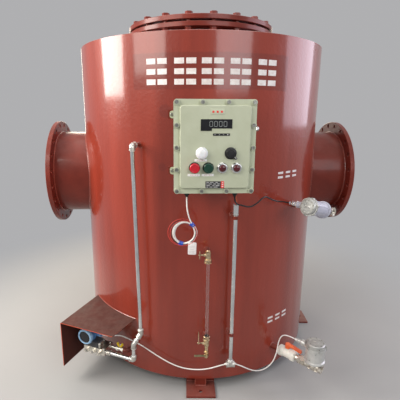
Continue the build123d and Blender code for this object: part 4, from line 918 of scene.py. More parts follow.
beads = Maker()
for side in (-1, 1):
    addBead(beads, saddlePoints(side, place["nozzleRadius"] + 0.002), 0.0055, True, 1.0 + side)
    ring = [(side * (place["nozzleReach"] - place["flangeThick"] - 0.001), y, z + place["nozzleHeight"]) for y, z, _ in circlePoints(place["nozzleRadius"] + 0.002, 0)]
    addBead(beads, ring, 0.005, True, 2.0 + side)
addBead(beads, circlePoints(place["neckRadius"] + 0.002, place["shellHigh"] + 0.001), 0.005, True, 4.0)
addBead(beads, circlePoints(place["neckRadius"] + 0.002, place["neckHigh"] - 0.001), 0.0045, True, 5.0)
addBead(beads, circlePoints(0.7415, place["shellHigh"]), 0.003, True, 6.0)
seamAngle = 152
addBead(beads, [heading(seamAngle, place["shellRadius"] + 0.0002, level) for level in (place["shellLow"] + 0.002, place["shellHigh"] - 0.002)], 0.0042, False, 7.0)
for angle, level, radius in ((40, 1.039, 0.017), (-29, 1.377, 0.01065), (-1.45, 0.844, 0.013), (-1.45, 0.347, 0.013)):
    addBead(beads, ringOnShell(angle, level, radius + 0.001), 0.0026, True, angle)
addBead(beads, ringOnShell(32, 0.184, 0.0185), 0.0026, True, 9.0)
for level in (0.374, 1.028):
    addBead(beads, ringOnShell(math.degrees(math.asin(0.1043 / 0.75)), level, 0.006), 0.0022, True, level)
for level in (1.267, 1.527):
    for across in (-0.170, 0.146):
        for near in (-0.0035, 0.0035):
            x = across + near
            y = -math.sqrt(0.7505 ** 2 - x * x)
            addBead(beads, [(x, y, level - 0.019), (x, y, level + 0.019)], 0.0024, False, x)
topEdge = [hoodMeetsShell(0.004 + 0.371 * k / 30, 0.377) for k in range(31)]
addBead(beads, [p for p in topEdge if p], 0.0028, False, 11.0)
sideLow, sideHigh = hoodMeetsShell(0.004, 0.10), hoodMeetsShell(0.004, 0.368)
addBead(beads, [sideLow + hoodAcross * 0.002, sideHigh + hoodAcross * 0.002], 0.0028, False, 12.0)
for k in range(4):
    turn = -3 + 90 * k
    out = heading(turn)
    side = Vector((math.cos(math.radians(turn)), math.sin(math.radians(turn)), 0))
    for way in (-1, 1):
        a = out * 0.704 + side * (way * 0.030) + Vector((0, 0, 0.0125))
        b = out * 0.744 + side * (way * 0.030) + Vector((0, 0, 0.0125))
        addBead(beads, [a, b], 0.003, False, way + k)
        addBead(beads, [out * 0.7455 + side * (way * 0.0295) + Vector((0, 0, z)) for z in (0.013, 0.0585)], 0.0026, False, 5 + k)
        addBead(beads, [out * 0.706 + side * (way * s) + Vector((0, 0, 0.0125)) for s in (0.032, 0.078)], 0.003, False, 8 + k)
    addBead(beads, [out * 0.7455 + side * s + Vector((0, 0, 0.0125)) for s in (-0.029, 0.029)], 0.003, False, 9 + k)
beads.piece("weldBeads", "weldPaint")
print("weld beads laid")


# ---- hexagon bolts, nuts, washers and thread ends, as forms that other pieces use

def addHexHead(maker, matrix, width, height, turn=0.0):
    # a hexagon head with its corners rounded off above
    radius = width / 2 / math.cos(math.pi / 6)
    flat = width / 2
    top = [(flat * 0.96 * math.cos(math.pi * k / 12 + turn), flat * 0.96 * math.sin(math.pi * k / 12 + turn), height) for k in range(24)]
    verts, faces = [], []
    for level, part in ((0, 1.0), (height * 0.86, 1.0)):
        for k in range(24):
            angle = math.pi * k / 12
            sector = (angle + math.pi / 6) % (math.pi / 3) - math.pi / 6
            reach = flat / math.cos(sector)
            drop = (reach - flat) / (radius - flat) * height * 0.12 if level else 0.0
            verts.append((reach * math.cos(angle + turn), reach * math.sin(angle + turn), level - drop))
    verts += top
    for a in range(2):
        faces += [(a * 24 + k, a * 24 + (k + 1) % 24, (a + 1) * 24 + (k + 1) % 24, (a + 1) * 24 + k) for k in range(24)]
    faces += [tuple(range(48, 72)), tuple(reversed(range(24)))]
    maker.add(verts, faces, matrix)


def addWasher(maker, matrix, inner, outer, thick, sides=24):
    maker.lathe([(inner, 0), (outer - 0.0004, 0), (outer, 0.0004), (outer, thick - 0.0005), (outer - 0.0006, thick), (inner, thick), (inner, 0)], matrix, sides)


def addThread(maker, matrix, radius, length, pitch, sides=16):
    rings, level = [(0, 0)], 0.0
    rings.append((radius * 0.86, 0))
    while level < length - pitch:
        rings += [(radius, level + pitch * 0.35), (radius, level + pitch * 0.5), (radius * 0.9, level + pitch * 0.95)]
        level += pitch
    rings += [(radius * 0.86, length), (0, length)]
    maker.lathe(rings, matrix, sides)


# ---- the relief top

reliefValues = {"circle": 0.425, "count": 20, "first": 4.6, "ringTop": 2.046, "ringLow": 1.985, "nutLow": 1.965, "tail": 0.0068, "dome": 0.016}
tops, tails = Maker(), Maker()
for k in range(reliefValues["count"]):
    angle = math.radians(reliefValues["first"] + 360 * k / reliefValues["count"])
    x, y = reliefValues["circle"] * math.cos(angle), reliefValues["circle"] * math.sin(angle)
    addWasher(tops, frameAt((x, y, reliefValues["ringTop"]), (0, 0, 1)), 0.0175, 0.0225, 0.0028)
    addWasher(tops, frameAt((x, y, reliefValues["ringLow"]), (0, 0, -1)), 0.0175, 0.0225, 0.0028)
    addThread(tails, frameAt((x, y, reliefValues["nutLow"] - 0.0001), (0, 0, -1)), 0.0122, reliefValues["tail"], 0.0017)
tops.piece("reliefWashers", "shadedRedPaint")
tails.piece("reliefBoltThreads", "shadedRedPaint")


def domeProfile(part):
    return reliefValues["dome"] * (1 - part * part) ** 1.2


membrane = Maker()
rings, spokes = 28, 96
verts = [(0, 0, 2.0155 + domeProfile(0))]
for r in range(1, rings + 1):
    part = r / rings
    for s in range(spokes):
        angle = 2 * math.pi * s / spokes
        crease = 0.0016 * max(0.0, 1 - abs(((angle * 6 / (2 * math.pi) + 0.5) % 1) - 0.5) * 14) * (1 if 0.06 < part < 0.94 else 0)
        crumple = 0.0016 * noise.noise(Vector((part * 6 * math.cos(angle), part * 6 * math.sin(angle), 3.1))) * (1 - part)
        verts.append((0.3518 * part * math.cos(angle), 0.3518 * part * math.sin(angle), 2.0155 + domeProfile(part) - crease + crumple))
faces = [(0, 1 + s, 1 + (s + 1) % spokes) for s in range(spokes)]
for r in range(rings - 1):
    faces += [(1 + r * spokes + s, 1 + (r + 1) * spokes + s, 1 + (r + 1) * spokes + (s + 1) % spokes, 1 + r * spokes + (s + 1) % spokes) for s in range(spokes)]
membrane.add(verts, faces)
membrane.piece("membraneDome", "foil", sharp=60)
print("relief top done")


# ---- fittings on the control box. Spots are across and up, in metres, on the plane of the lid.

def onLid(across, up, out=0.0):
    return frameAt((across, place["boxFace"] - out, up), (0, -1, 0), (1, 0, 0))


boxValues = {
    "lampBezel": {"spots": [(0.021, 1.300), (0.083, 1.300)], "outer": 0.0222, "inner": 0.0150, "height": 0.0128},
    "whiteBezel": {"spot": (-0.070, 1.364), "outer": 0.0262, "height": 0.006},
    "buttonRing": {"spots": [(-0.101, 1.301), (-0.041, 1.301)], "outer": 0.0245, "inner": 0.0172, "height": 0.0045},
    "selector": {"spot": (0.056, 1.364), "radius": 0.022, "height": 0.020},
    "labels": [((-0.074, 1.334), (0.054, 0.0105)), ((-0.104, 1.269), (0.054, 0.0105)), ((-0.0425, 1.269), (0.053, 0.0105))],
    "nameplate": {"middle": (-0.0175, 1.2255), "size": (0.069, 0.031), "redMiddle": (0.024, 1.2255), "redSize": (0.014, 0.031)},
    "castPad": {"middle": (-0.005, 1.5395), "size": (0.062, 0.024)},
    "display": {"middle": (-0.001, 1.489), "digitWidth": 0.0125, "digitHeight": 0.0215, "gap": 0.0078, "stroke": 0.0026, "digits": "0000"},
}

joint = Maker()
joint.plate(0.3586, 0.4096, 0.0014, 0.0143, frameAt((-0.012, -0.9253, 1.3875), (0, -1, 0)), 0.0002)
joint.piece("lidJoint", "gasket")

bezels = Maker()
for spot in boxValues["lampBezel"]["spots"]:
    v = boxValues["lampBezel"]
    bezels.lathe([(v["inner"], 0.002), (v["outer"] + 0.0015, 0), (v["outer"] + 0.0015, 0.002), (v["outer"], 0.0035), (v["outer"], v["height"] - 0.003),
                  (v["outer"] - 0.0012, v["height"] - 0.0008), (v["outer"] - 0.003, v["height"]), (v["inner"] + 0.001, v["height"] - 0.0004),
                  (v["inner"], v["height"] - 0.0016), (v["inner"], 0.002)], onLid(*spot), 48)
bezels.piece("lampBezels", "brightSteel")

lenses = Maker()
for spot in boxValues["lampBezel"]["spots"]:
    lenses.lathe([(0.0152, 0.0100), (0.0152, 0.0138), (0.0146, 0.0160), (0.0128, 0.0184), (0.0098, 0.0200), (0.0055, 0.0210), (0, 0.0213)], onLid(*spot), 40,
                 shape=lambda k, h: 1.0 - (0.012 if k % 2 and h < 0.018 else 0.0))
lenses.piece("lampLenses", "redLens")

whiteRing = Maker()
v = boxValues["whiteBezel"]
whiteRing.lathe([(0.0245, 0), (v["outer"] + 0.001, 0), (v["outer"] + 0.001, 0.003), (v["outer"], 0.0045), (0.0252, v["height"]), (0.0245, v["height"])], onLid(*v["spot"]), 48)
for radius in (0.0085, 0.0145, 0.0195):
    height = {0.0085: 0.02255, 0.0145: 0.0209, 0.0195: 0.0190}[radius]
    whiteRing.lathe([(radius - 0.0008, height - 0.0006), (radius, height + 0.0003), (radius + 0.0008, height - 0.0008)], onLid(*v["spot"]), 40)
whiteRing.piece("whiteLampRings", "whiteCap")

collars = Maker()
for spot in boxValues["buttonRing"]["spots"]:
    v = boxValues["buttonRing"]
    collars.lathe([(v["inner"], 0), (v["outer"], 0), (v["outer"], v["height"] - 0.001), (v["outer"] - 0.001, v["height"]), (v["inner"], v["height"]),
                   (v["inner"], 0)], onLid(*spot), 48, shape=lambda k, h: 1.0 - (0.02 if k % 4 == 0 else 0.0))
collars.piece("buttonRings", "blackPlastic")

for name, spot, finishName, body in (("redButtonFace", (-0.101, 1.301), "redCap", "red_button"), ("greenButtonFace", (-0.041, 1.301), "greenCap", "green_button")):
    dish = Maker()
    dish.lathe([(0.0216, 0.0205), (0.0219, 0.0213), (0.0216, 0.0221), (0.0192, 0.0244), (0.0176, 0.0249), (0.0160, 0.0243), (0.0100, 0.0244), (0, 0.0247)], onLid(*spot), 48)
    dish.piece(name, finishName, body)

knob = Maker()
spotFrame = onLid(*boxValues["selector"]["spot"])
for k in range(28):
    angle = 2 * math.pi * k / 28
    ridge = spotFrame @ Matrix.Rotation(angle, 4, "Z") @ Matrix.Translation((0.0186, 0, 0.0085))
    knob.plate(0.0016, 0.0018, 0.010, 0.0006, ridge, 0.0004, 2)
knob.plate(0.019, 0.0022, 0.0006, 0.0008, spotFrame @ Matrix.Rotation(math.radians(-45), 4, "Z") @ Matrix.Translation((0.0215, 0, 0.0180)), 0.0001, 2)
knob.piece("selectorRidges", "blackPlastic", "selector_knob")
pointer = Maker()
pointer.plate(0.012, 0.0016, 0.0005, 0.0006, spotFrame @ Matrix.Rotation(math.radians(-45), 4, "Z") @ Matrix.Translation((0.0262, 0, 0.0187)), 0.0001, 2)
pointer.piece("selectorLine", "labelWhite", "selector_knob")
dial = Maker()
dial.lathe([(0.006, 0), (0.0265, 0), (0.0265, 0.0006), (0.0260, 0.0009), (0.006, 0.0009), (0.006, 0)], spotFrame, 48)
dial.piece("selectorPlate", "blackPlastic")
ticks = Maker()
for degrees in (-45, 45):
    ticks.plate(0.004, 0.0012, 0.0004, 0.0004, spotFrame @ Matrix.Rotation(math.radians(degrees), 4, "Z") @ Matrix.Translation((0.0295, 0, 0)), 0.0001, 2)
ticks.piece("selectorTicks", "printBlack")

labels, labelPrint = Maker(), Maker()
for middle, size in boxValues["labels"]:
    labels.plate(size[0], size[1], 0.0012, 0.0008, onLid(*middle), 0.0003)
    for start, long in ((-0.27, 0.07), (-0.13, 0.09), (0.02, 0.06), (0.16, 0.10), (0.29, 0.06)):
        labelPrint.plate(size[0] * long, size[1] * 0.26, 0.0002, 0.0002, onLid(middle[0] + size[0] * start, middle[1], 0.0012), 0.00005, 1)
labels.piece("functionLabels", "labelWhite")
labelPrint.piece("functionLabelPrint", "labelInk")

plate, plateMarks, redEnd, redMarks = Maker(), Maker(), Maker(), Maker()
v = boxValues["nameplate"]
plate.plate(v["size"][0], v["size"][1], 0.0010, 0.0010, onLid(*v["middle"]), 0.0002)
redEnd.plate(v["redSize"][0], v["redSize"][1], 0.0010, 0.0010, onLid(*v["redMiddle"]), 0.0002)
for row, cells in enumerate((((-0.36, 0.16), (-0.10, 0.22), (0.22, 0.14)), ((-0.40, 0.07), (-0.20, 0.22), (0.10, 0.16), (0.34, 0.14)),
                             ((-0.32, 0.22), (0.02, 0.14), (0.28, 0.24)), ((-0.38, 0.10), (-0.14, 0.18), (0.16, 0.26)))):
    for start, long in cells:
        plateMarks.plate(v["size"][0] * long, 0.0036, 0.0002, 0.0003, onLid(v["middle"][0] + v["size"][0] * start, v["middle"][1] + 0.0105 - 0.0070 * row, 0.0010), 0.00005, 1)
for k in range(3):
    redMarks.plate(0.0070, 0.0030, 0.0002, 0.0003, onLid(v["redMiddle"][0], v["redMiddle"][1] + 0.0085 - 0.0085 * k, 0.0010), 0.00005, 1)
plate.piece("boxPlate", "printBlack")
plateMarks.piece("boxPlateMarks", "printGrey")
redEnd.piece("boxPlateEnd", "printRed")
redMarks.piece("boxPlateEndMarks", "labelWhite")
rivets = Maker()
for across in (-0.0495, 0.0285):
    for up in (1.2125, 1.2385):
        rivets.lathe([(0.0013, 0), (0.0013, 0.0003), (0.0010, 0.0009), (0, 0.0012)], onLid(across, up, 0.0010), 12)
rivets.piece("boxPlateRivets", "brightSteel")

castPad, castMarks = Maker(), Maker()
v = boxValues["castPad"]
castPad.plate(v["size"][0], v["size"][1], 0.0016, 0.005, onLid(*v["middle"]), 0.0008, 5)
castPad.piece("castPad", "boxPaint")
for k in (-1, 0, 1):
    castMarks.plate(0.0088, 0.0088, 0.0006, 0.0012, onLid(v["middle"][0] + 0.018 * k, v["middle"][1], 0.0016), 0.0002, 3)
castMarks.piece("castPadMarks", "printRed")

segments = {"0": "abcdef", "1": "bc", "2": "abged", "3": "abgcd", "4": "fgbc", "5": "afgcd", "6": "afgedc", "7": "abc", "8": "abcdefg", "9": "abcdfg"}
digits = Maker()
v = boxValues["display"]
wide, tall, stroke = v["digitWidth"], v["digitHeight"], v["stroke"]
bars = {"a": (0, tall / 2, wide, stroke), "g": (0, 0, wide, stroke), "d": (0, -tall / 2, wide, stroke), "f": (-wide / 2, tall / 4, stroke, tall / 2),
        "b": (wide / 2, tall / 4, stroke, tall / 2), "e": (-wide / 2, -tall / 4, stroke, tall / 2), "c": (wide / 2, -tall / 4, stroke, tall / 2)}
for k, digit in enumerate(v["digits"]):
    start = v["middle"][0] + (k - (len(v["digits"]) - 1) / 2) * (wide + v["gap"])
    for bar in segments[digit]:
        dx, dy, sx, sy = bars[bar]
        digits.plate(sx * 0.88, sy * 0.88, 0.0002, 0.0004, onLid(start + dx, v["middle"][1] + dy, 0.0020), 0.00005, 2)
digits.piece("displayDigits", "displaySegment")
frameLine = Maker()
corners = [(-0.076, 1.509), (0.059, 1.509), (0.059, 1.470), (-0.028, 1.470), (-0.028, 1.460), (-0.076, 1.460)]
frameLine.sweep([onLid(x, z, 0.0006) @ Vector((0, 0, 0)) for x, z in corners], 0.0013, 8, True)
frameLine.piece("windowBead", "boxPaint")
keys = Maker()
for k in range(4):
    at = onLid(0.0135 + (k - 1.5) * 0.01825, 1.444, 0.0020)
    if k < 2:
        keys.lathe([(0.0024, 0), (0.0022, 0.0002), (0, 0.0002)], at @ Matrix.Rotation(math.pi / 2 + math.pi * k, 4, "Z"), 3)
    else:
        keys.plate(0.0042, 0.0012 if k == 2 else 0.0032, 0.0002, 0.0004, at, 0.00005, 2)
keys.piece("keyMarks", "labelWhite")

lugBolts = Maker()
for across in (-0.1953, 0.1713):
    for up in (1.267, 1.527):
        at = frameAt((across, -0.818, up), (0, -1, 0))
        addWasher(lugBolts, at, 0.0045, 0.0085, 0.0016)
        addHexHead(lugBolts, at @ Matrix.Translation((0, 0, 0.0016)), 0.013, 0.0055, across)
lugBolts.piece("lugBolts", "screwSteel")
earth = Maker()
at = frameAt((0.1568, -0.868, 1.465), (1, 0, 0))
earth.plate(0.028, 0.028, 0.005, 0.006, at, 0.001)
addThread(earth, at @ Matrix.Translation((0, 0, 0.005)), 0.004, 0.034, 0.00125)
for level in (0.0050, 0.0240, 0.0315):
    addWasher(earth, at @ Matrix.Translation((0, 0, level)), 0.004, 0.0125, 0.0018)
addHexHead(earth, at @ Matrix.Translation((0, 0, 0.0254)), 0.017, 0.0064)
addHexHead(earth, at @ Matrix.Translation((0, 0, 0.0329)), 0.017, 0.0058, 0.3)
earth.piece("earthBolt", "brightSteel")
print("control box dressed")


# ---- painted marks on the shell: plain blocks and bars, no lettering

markValues = {
    "row": {"spots": [-20.9, -10.2, -0.3, 10.0, 20.8], "level": 1.724, "wide": 0.104, "tall": 0.120, "bar": 0.026},
    "small": [(35.0, 1.215, 0.044), (34.4, 0.366, 0.046)],
}


def shellPatch(maker, angle, level, width, height, lift=0.0006):
    # a thin skin of paint that follows the shell
    steps = max(2, int(width / 0.010))
    radius = place["shellRadius"] + lift
    verts, faces = [], []
    for k in range(steps + 1):
        turn = angle + math.degrees((k / steps - 0.5) * width / place["shellRadius"])
        for z in (level - height / 2, level + height / 2):
            for reach in (radius - lift + 0.00005, radius):
                verts.append(heading(turn, reach, z))
    for k in range(steps):
        a, b = 4 * k, 4 * (k + 1)
        faces += [(a + 1, b + 1, b + 3, a + 3), (a, a + 2, b + 2, b), (a, b, b + 1, a + 1), (a + 2, a + 3, b + 3, b + 2)]
    faces += [(0, 1, 3, 2), (4 * steps, 4 * steps + 2, 4 * steps + 3, 4 * steps + 1)]
    maker.add(verts, faces)


stencils = Maker()
v = markValues["row"]
turnOf = lambda metres: math.degrees(metres / place["shellRadius"])
for spot in v["spots"]:
    half = (v["wide"] - 0.010) / 2
    for row in (-1, 0, 1):
        level = v["level"] + row * (v["tall"] - v["bar"]) / 2
        for way in (-1, 1):
            shellPatch(stencils, spot + way * turnOf(half / 2 + 0.005), level, half, v["bar"])
stencils.piece("stencilBlocks", "stencilWhite")
smallMarks = Maker()
for angle, level, size in markValues["small"]:
    for k in (-1, 0, 1):
        middle = angle + k * turnOf(size * 1.35)
        for row in (-1, 1):
            shellPatch(smallMarks, middle, level + row * size * 0.27, size * 0.86, size * 0.26)
smallMarks.piece("stencilSmallBlocks", "stencilWhite")
print("marks painted")


# ---- the lead's thin wires, its tapes and its tag

def looseLoops(centre, radii, start, turns, deep, pointsPerTurn=14, drift=(0, 0)):
    points = []
    count = int(turns * pointsPerTurn)
    for k in range(count + 1):
        turn = k / pointsPerTurn
        part = k / count
        reach = radii[0] + (radii[1] - radii[0]) * part + 1.8 * math.sin(2.3 * turn * math.pi) + 1.2 * math.sin(5 * turn + radii[0])
        angle = math.radians(start - 360 * turn)
        points.append((centre[0] + drift[0] * part + reach * math.cos(angle), centre[1] + deep[0] + (deep[1] - deep[0]) * part,
                       centre[2] + drift[1] * part + reach * 0.96 * math.sin(angle)))
    return points


leadEnd = coilPoints()[-1]
wirePieces = {
    "leadRedWire": ("redWire", looseLoops((-143, -850, 968), (63, 74), 38, 2.20, (-8.5, 2.5), drift=(-9, 1)), 0.908),
    "leadBlackWire": ("blackSheath", looseLoops((-143, -850, 968), (60, 68), 34, 2.14, (-6.5, 5.5), drift=(-5, 2)), 0.822),
}
wireTips = Maker()
wireThings = {}
for name, (finishName, points, length) in wirePieces.items():
    thing = cordPiece(name, [leadEnd] + points, wireValues["radius"], finishName)
    wireThings[name] = thing
    last, before = Vector(points[-1]) / 1000, Vector(points[-2]) / 1000
    tips = Maker()
    tips.lathe([(0, -0.001), (0.0007, -0.001), (0.0007, 0.0085), (0.0005, 0.0092), (0, 0.0094)], frameAt(last, last - before), 10)
    tip = tips.piece(name + "Tip", "brightSteel")
    [v / 1000 for v in leadEnd]

tapeValues = [((0.70, 1.02), 0.019, 0.0108), ((-2.06, -1.76), 0.019, 0.0112)]
tapes = Maker()
coilMiddle = Vector((-0.138, -0.850, 0.968))
for (a0, a1), _, radius in tapeValues:
    spine = []
    for k in range(7):
        angle = a0 + (a1 - a0) * (k - 0.6) / 6 * 1.25
        spine.append(coilMiddle + Vector((0.0555 * math.cos(angle), 0, 0.0555 * math.sin(angle))))
    tapes.sweep(spine, radius, 20, False, lambda k: 1.0 + 0.03 * math.sin(k * 2.1), 0.95)
tapes.piece("leadTapes", "blueTape")

tagValues = {"middle": (-0.1015, -0.8585, 0.8905), "size": (0.041, 0.062), "lean": -7}
tag = Maker()
tagFrame = frameAt(tagValues["middle"], (-0.05, -1, 0.06), (1, 0, 0.09)) @ Matrix.Rotation(math.radians(tagValues["lean"]), 4, "Z")
tag.plate(tagValues["size"][0], tagValues["size"][1], 0.0009, 0.006, tagFrame, 0.0002, 5)
tag.lathe([(0.0016, 0), (0.0034, 0), (0.0034, 0.0014), (0.0016, 0.0014), (0.0016, 0)], tagFrame @ Matrix.Translation((0.0, 0.0255, 0)), 20)
tagThing = tag.piece("leadTag", "paperTag")
tagPrint = Maker()
for k in range(5):
    tagPrint.plate(0.028 - 0.003 * (k % 3), 0.0014, 0.00012, 0.0002, tagFrame @ Matrix.Translation((-0.001, 0.012 - 0.0085 * k, 0.0009)), 0.00004, 1)
tagPrint.piece("leadTagPrint", "printGrey")
tie = Maker()
hole = tagFrame @ Vector((0, 0.0255, 0.0007))
loop = []
for k in range(28):
    angle = 2 * math.pi * k / 28
    loop.append(Vector((hole.x + 0.0085 * math.sin(angle), hole.y + 0.0025 + 0.011 * math.sin(angle + 0.4) * 0.5, hole.z + 0.0088 - 0.0088 * math.cos(angle))))
tie.sweep(loop, 0.0008, 8, True)
tie.piece("leadTagTie", "labelWhite")

# the two thin wires from the conduit's top to the box
riserRoutes = {
    "riserRedWire": ("redWire", [(114, -803, 1096), (114, -804, 1104), (111, -812, 1118), (106, -826, 1134), (101, -842, 1146), (95, -852, 1160)]),
    "riserOrangeWire": ("orangeWire", [(121, -799, 1096), (121, -801, 1105), (119, -812, 1122), (114, -826, 1139), (108, -840, 1150), (104, -850, 1160)]),
}
for name, (finishName, route) in riserRoutes.items():
    thing = cordPiece(name, route, wireValues["radius"], finishName)
    wireThings[name] = thing
    [v / 1000 for v in route[0]]
for name, thing in wireThings.items():
    print("wire", name, round(splineLength(thing), 4))
print("lead dressed")


# ---- pipe fittings: beaded rims, sealing tape, nuts

fittingValues = {"rim": 0.0168, "rimWide": 0.0048, "leg": 0.026, "tape": 0.0112, "tapeWide": 0.004}
lineCorner, lineKnee, lineJog = heading(-29, 0.810, 1.377), heading(-27.42, 0.810, 0.339), heading(-29.03, 0.851, 0.290)
linePort = hoodPoint(0.236, 0.091, 0.193)
lineFoot = hoodPoint((lineJog - hoodPoint(0, 0, 0)).dot(hoodAcross), 0.091, 0.193)
lineRoot = heading(-29, 0.742, 1.377)


def rimProfile(radius, wide, inner):
    return [(inner, -wide / 2), (radius - 0.001, -wide / 2), (radius, -wide / 2 + 0.0009), (radius, wide / 2 - 0.0009), (radius - 0.001, wide / 2), (inner, wide / 2)]


rims, ptfe = Maker(), Maker()
for before, corner, after in ((lineRoot, lineCorner, lineKnee), (lineCorner, lineKnee, lineJog), (lineKnee, lineJog, lineFoot), (lineJog, lineFoot, linePort)):
    for other in (before, after):
        along = (other - corner).normalized()
        end = corner + along * (fittingValues["leg"] - 0.003)
        rims.lathe(rimProfile(fittingValues["rim"], fittingValues["rimWide"], 0.0145), frameAt(end, along), 28)
        tapeEnd = corner + along * (fittingValues["leg"] + 0.0012)
        ptfe.lathe(rimProfile(fittingValues["tape"] + 0.0012, fittingValues["tapeWide"], 0.0104), frameAt(tapeEnd, along), 24,
                   shape=lambda k, h: 1.0 + 0.03 * noise.noise(Vector((k * 0.9, h * 900, 0))))
tee = Vector((place["conduitX"], place["conduitY"], 0.191))
for along in ((1, 0, 0), (-1, 0, 0), (0, 0, 1)):
    end = tee + Vector(along) * 0.0205
    rims.lathe(rimProfile(0.0186, 0.0048, 0.0166), frameAt(end, along), 28)
ptfe.lathe(rimProfile(0.0124, 0.004, 0.0104), frameAt(tee + Vector((0, 0, 0.0245)), (0, 0, 1)), 24)
for level in (1.0435, 1.0935):
    rims.lathe(rimProfile(0.0150, 0.0046, 0.0132), frameAt((place["conduitX"], place["conduitY"], level), (0, 0, 1)), 28)
bushes = Maker()
for way in (-1, 1):
    bushes.lathe([(0.0031, -0.003), (0.0080, -0.003), (0.0080, 0.001), (0.0062, 0.004), (0.0046, 0.0085), (0.0034, 0.0110), (0.0031, 0.0110)],
                 frameAt(tee + Vector((way * 0.0215, 0, 0)), (way, 0, 0)), 24)
bushes.piece("teeBushes", "whiteSheath")
rims.piece("fittingRims", "fittingZinc")
ptfe.piece("threadTape", "labelWhite")
pipeNuts = Maker()
along = (linePort - lineFoot).normalized()
for reach in (0.016, 0.034):
    addHexHead(pipeNuts, frameAt(linePort - along * reach, along), 0.027, 0.012, reach)
pipeNuts.lathe([(0.0104, 0), (0.0142, 0), (0.0146, 0.001), (0.0146, 0.004), (0.0104, 0.004)], frameAt(linePort - along * 0.022, along), 24)
pipeNuts.piece("portUnion", "stainless")

clampBits = Maker()
for level in (0.374, 1.028):
    for way in (-1, 1):
        spot = Vector((place["conduitX"] - 0.0145, place["conduitY"] + 0.0, level + 0.0))
        at = frameAt((place["conduitX"], place["conduitY"] - 0.0136, level + way * 0.0042), (0, -1, 0))
        clampBits.lathe([(0.0034, 0), (0.0036, 0.0006), (0.0030, 0.0018), (0.0016, 0.0026), (0, 0.0028)], at, 16)
    clampBits.plate(0.011, 0.015, 0.0026, 0.002, frameAt((place["conduitX"] - 0.0150, place["conduitY"] + 0.004, level), (-1, 0, 0), (0, 1, 0)), 0.0006)
for level in (0.391, 1.044):
    eye = []
    for k in range(24):
        angle = 2 * math.pi * k / 24
        eye.append(Vector((place["conduitX"] - 0.0225 + 0.0085 * math.cos(angle), place["conduitY"] + 0.002 + 0.003 * math.sin(angle), level + 0.0105 * math.sin(angle))))
    clampBits.sweep(eye, 0.0024, 10, True)
clampBits.piece("clampScrews", "shadedRedPaint")
print("pipework dressed")


# ---- the glands under the box

glands, glandRings = Maker(), Maker()
for across in (-0.129, 0.098):
    foot = Vector((across, -0.860, 1.193))
    addHexHead(glands, frameAt(foot + Vector((0, 0, -0.0002)), (0, 0, -1)), 0.0345, 0.0052, 0.1)
    for k in range(18):
        turn = Matrix.Rotation(2 * math.pi * k / 18, 4, "Z")
        rib = frameAt(foot + Vector((0, 0, -0.0225)), (0, 0, -1)) @ turn @ Matrix.Translation((0.0112, 0, 0)) 
        glands.plate(0.0020, 0.0014, 0.0088, 0.0005, rib, 0.0003, 2)
    glandRings.lathe(rimProfile(0.0226, 0.0052, 0.0131), frameAt(foot + Vector((0, 0, -0.0105)), (0, 0, -1)), 36)
    glands.lathe([(0.0034, 0), (0.0078, 0), (0.0074, 0.0018), (0.0058, 0.0028), (0.0036, 0.0028), (0.0034, 0)], frameAt(foot + Vector((0, 0, -0.0402)), (0, 0, -1)), 24)
glands.piece("glandNuts", "blackPlastic")
glandRings.piece("glandRings", "brightSteel")


# ---- the level gauge

gaugeX, gaugeY = place["gaugeX"], place["gaugeY"]
gaugeBits, gaugeSeals = Maker(), Maker()
for level, way in ((place["gaugeHigh"], -1), (place["gaugeLow"], 1)):
    nut = Vector((gaugeX, gaugeY, level + way * 0.022))
    gaugeBits.lathe(rimProfile(0.0178, 0.0034, 0.012), frameAt(nut + Vector((0, 0, way * 0.001)), (0, 0, 1)), 28)
    gaugeBits.lathe(rimProfile(0.0185, 0.0034, 0.0105), frameAt(nut + Vector((0, 0, way * 0.0190)), (0, 0, 1)), 28)
    gaugeSeals.lathe(rimProfile(0.0122, 0.0035, 0.0101), frameAt(nut + Vector((0, 0, way * 0.0218)), (0, 0, 1)), 24)
    left = Vector((gaugeX - 0.0125, gaugeY, level))
    addHexHead(gaugeBits, frameAt(left, (-1, 0, 0), (0, 0, 1)), 0.0165, 0.006, 0.2)
    gaugeBits.lathe([(0.0086, 0), (0.0088, 0.0006), (0.0084, 0.0045), (0.0050, 0.0052), (0.0050, 0)], frameAt(left + Vector((-0.0045, 0, 0)), (-1, 0, 0)), 20)
    addHexHead(gaugeBits, frameAt((gaugeX, gaugeY + 0.019, level), (0, 1, 0)), 0.026, 0.006, 0.0)
    top = Vector((gaugeX, gaugeY, level - way * 0.0158))
    if way < 0:
        addHexHead(gaugeBits, frameAt(top, (0, 0, 1)), 0.019, 0.007, 0.3)
        gaugeBits.lathe([(0.0060, 0.0), (0.0060, 0.0085), (0.0052, 0.0098), (0, 0.0100)], frameAt(top, (0, 0, 1)), 20)
gaugeBits.lathe([(0.0066, 0), (0.0078, 0.0008), (0.0078, 0.004), (0.0060, 0.005), (0.0060, 0)], frameAt((gaugeX, gaugeY, place["gaugeDrain"] - 0.0205), (0, 0, -1)), 20)
gaugeBits.piece("gaugeNuts", "brass")
gaugeSeals.piece("gaugeSeals", "gasket")
for name, spot, body in (("gaugeUpperLeverNut", (gaugeX - 0.0444, gaugeY, place["gaugeHigh"]), "gauge_upper_lever"),
                         ("gaugeLowerLeverNut", (gaugeX - 0.0444, gaugeY, place["gaugeLow"]), "gauge_lower_lever")):
    leverNut = Maker()
    addHexHead(leverNut, frameAt(spot, (-1, 0, 0), (0, 0, 1)), 0.0090, 0.0034)
    leverNut.lathe([(0.0026, 0), (0.0026, 0.0046), (0.0018, 0.0052), (0, 0.0052)], frameAt(spot, (-1, 0, 0)), 12)
    leverNut.piece(name, "brass", body)
drainNut = Maker()
addHexHead(drainNut, frameAt((gaugeX, -0.8534, place["gaugeDrain"]), (0, -1, 0)), 0.0095, 0.0036)
drainNut.piece("gaugeDrainLeverNut", "brass", "gauge_drain_lever")
grip = Maker()
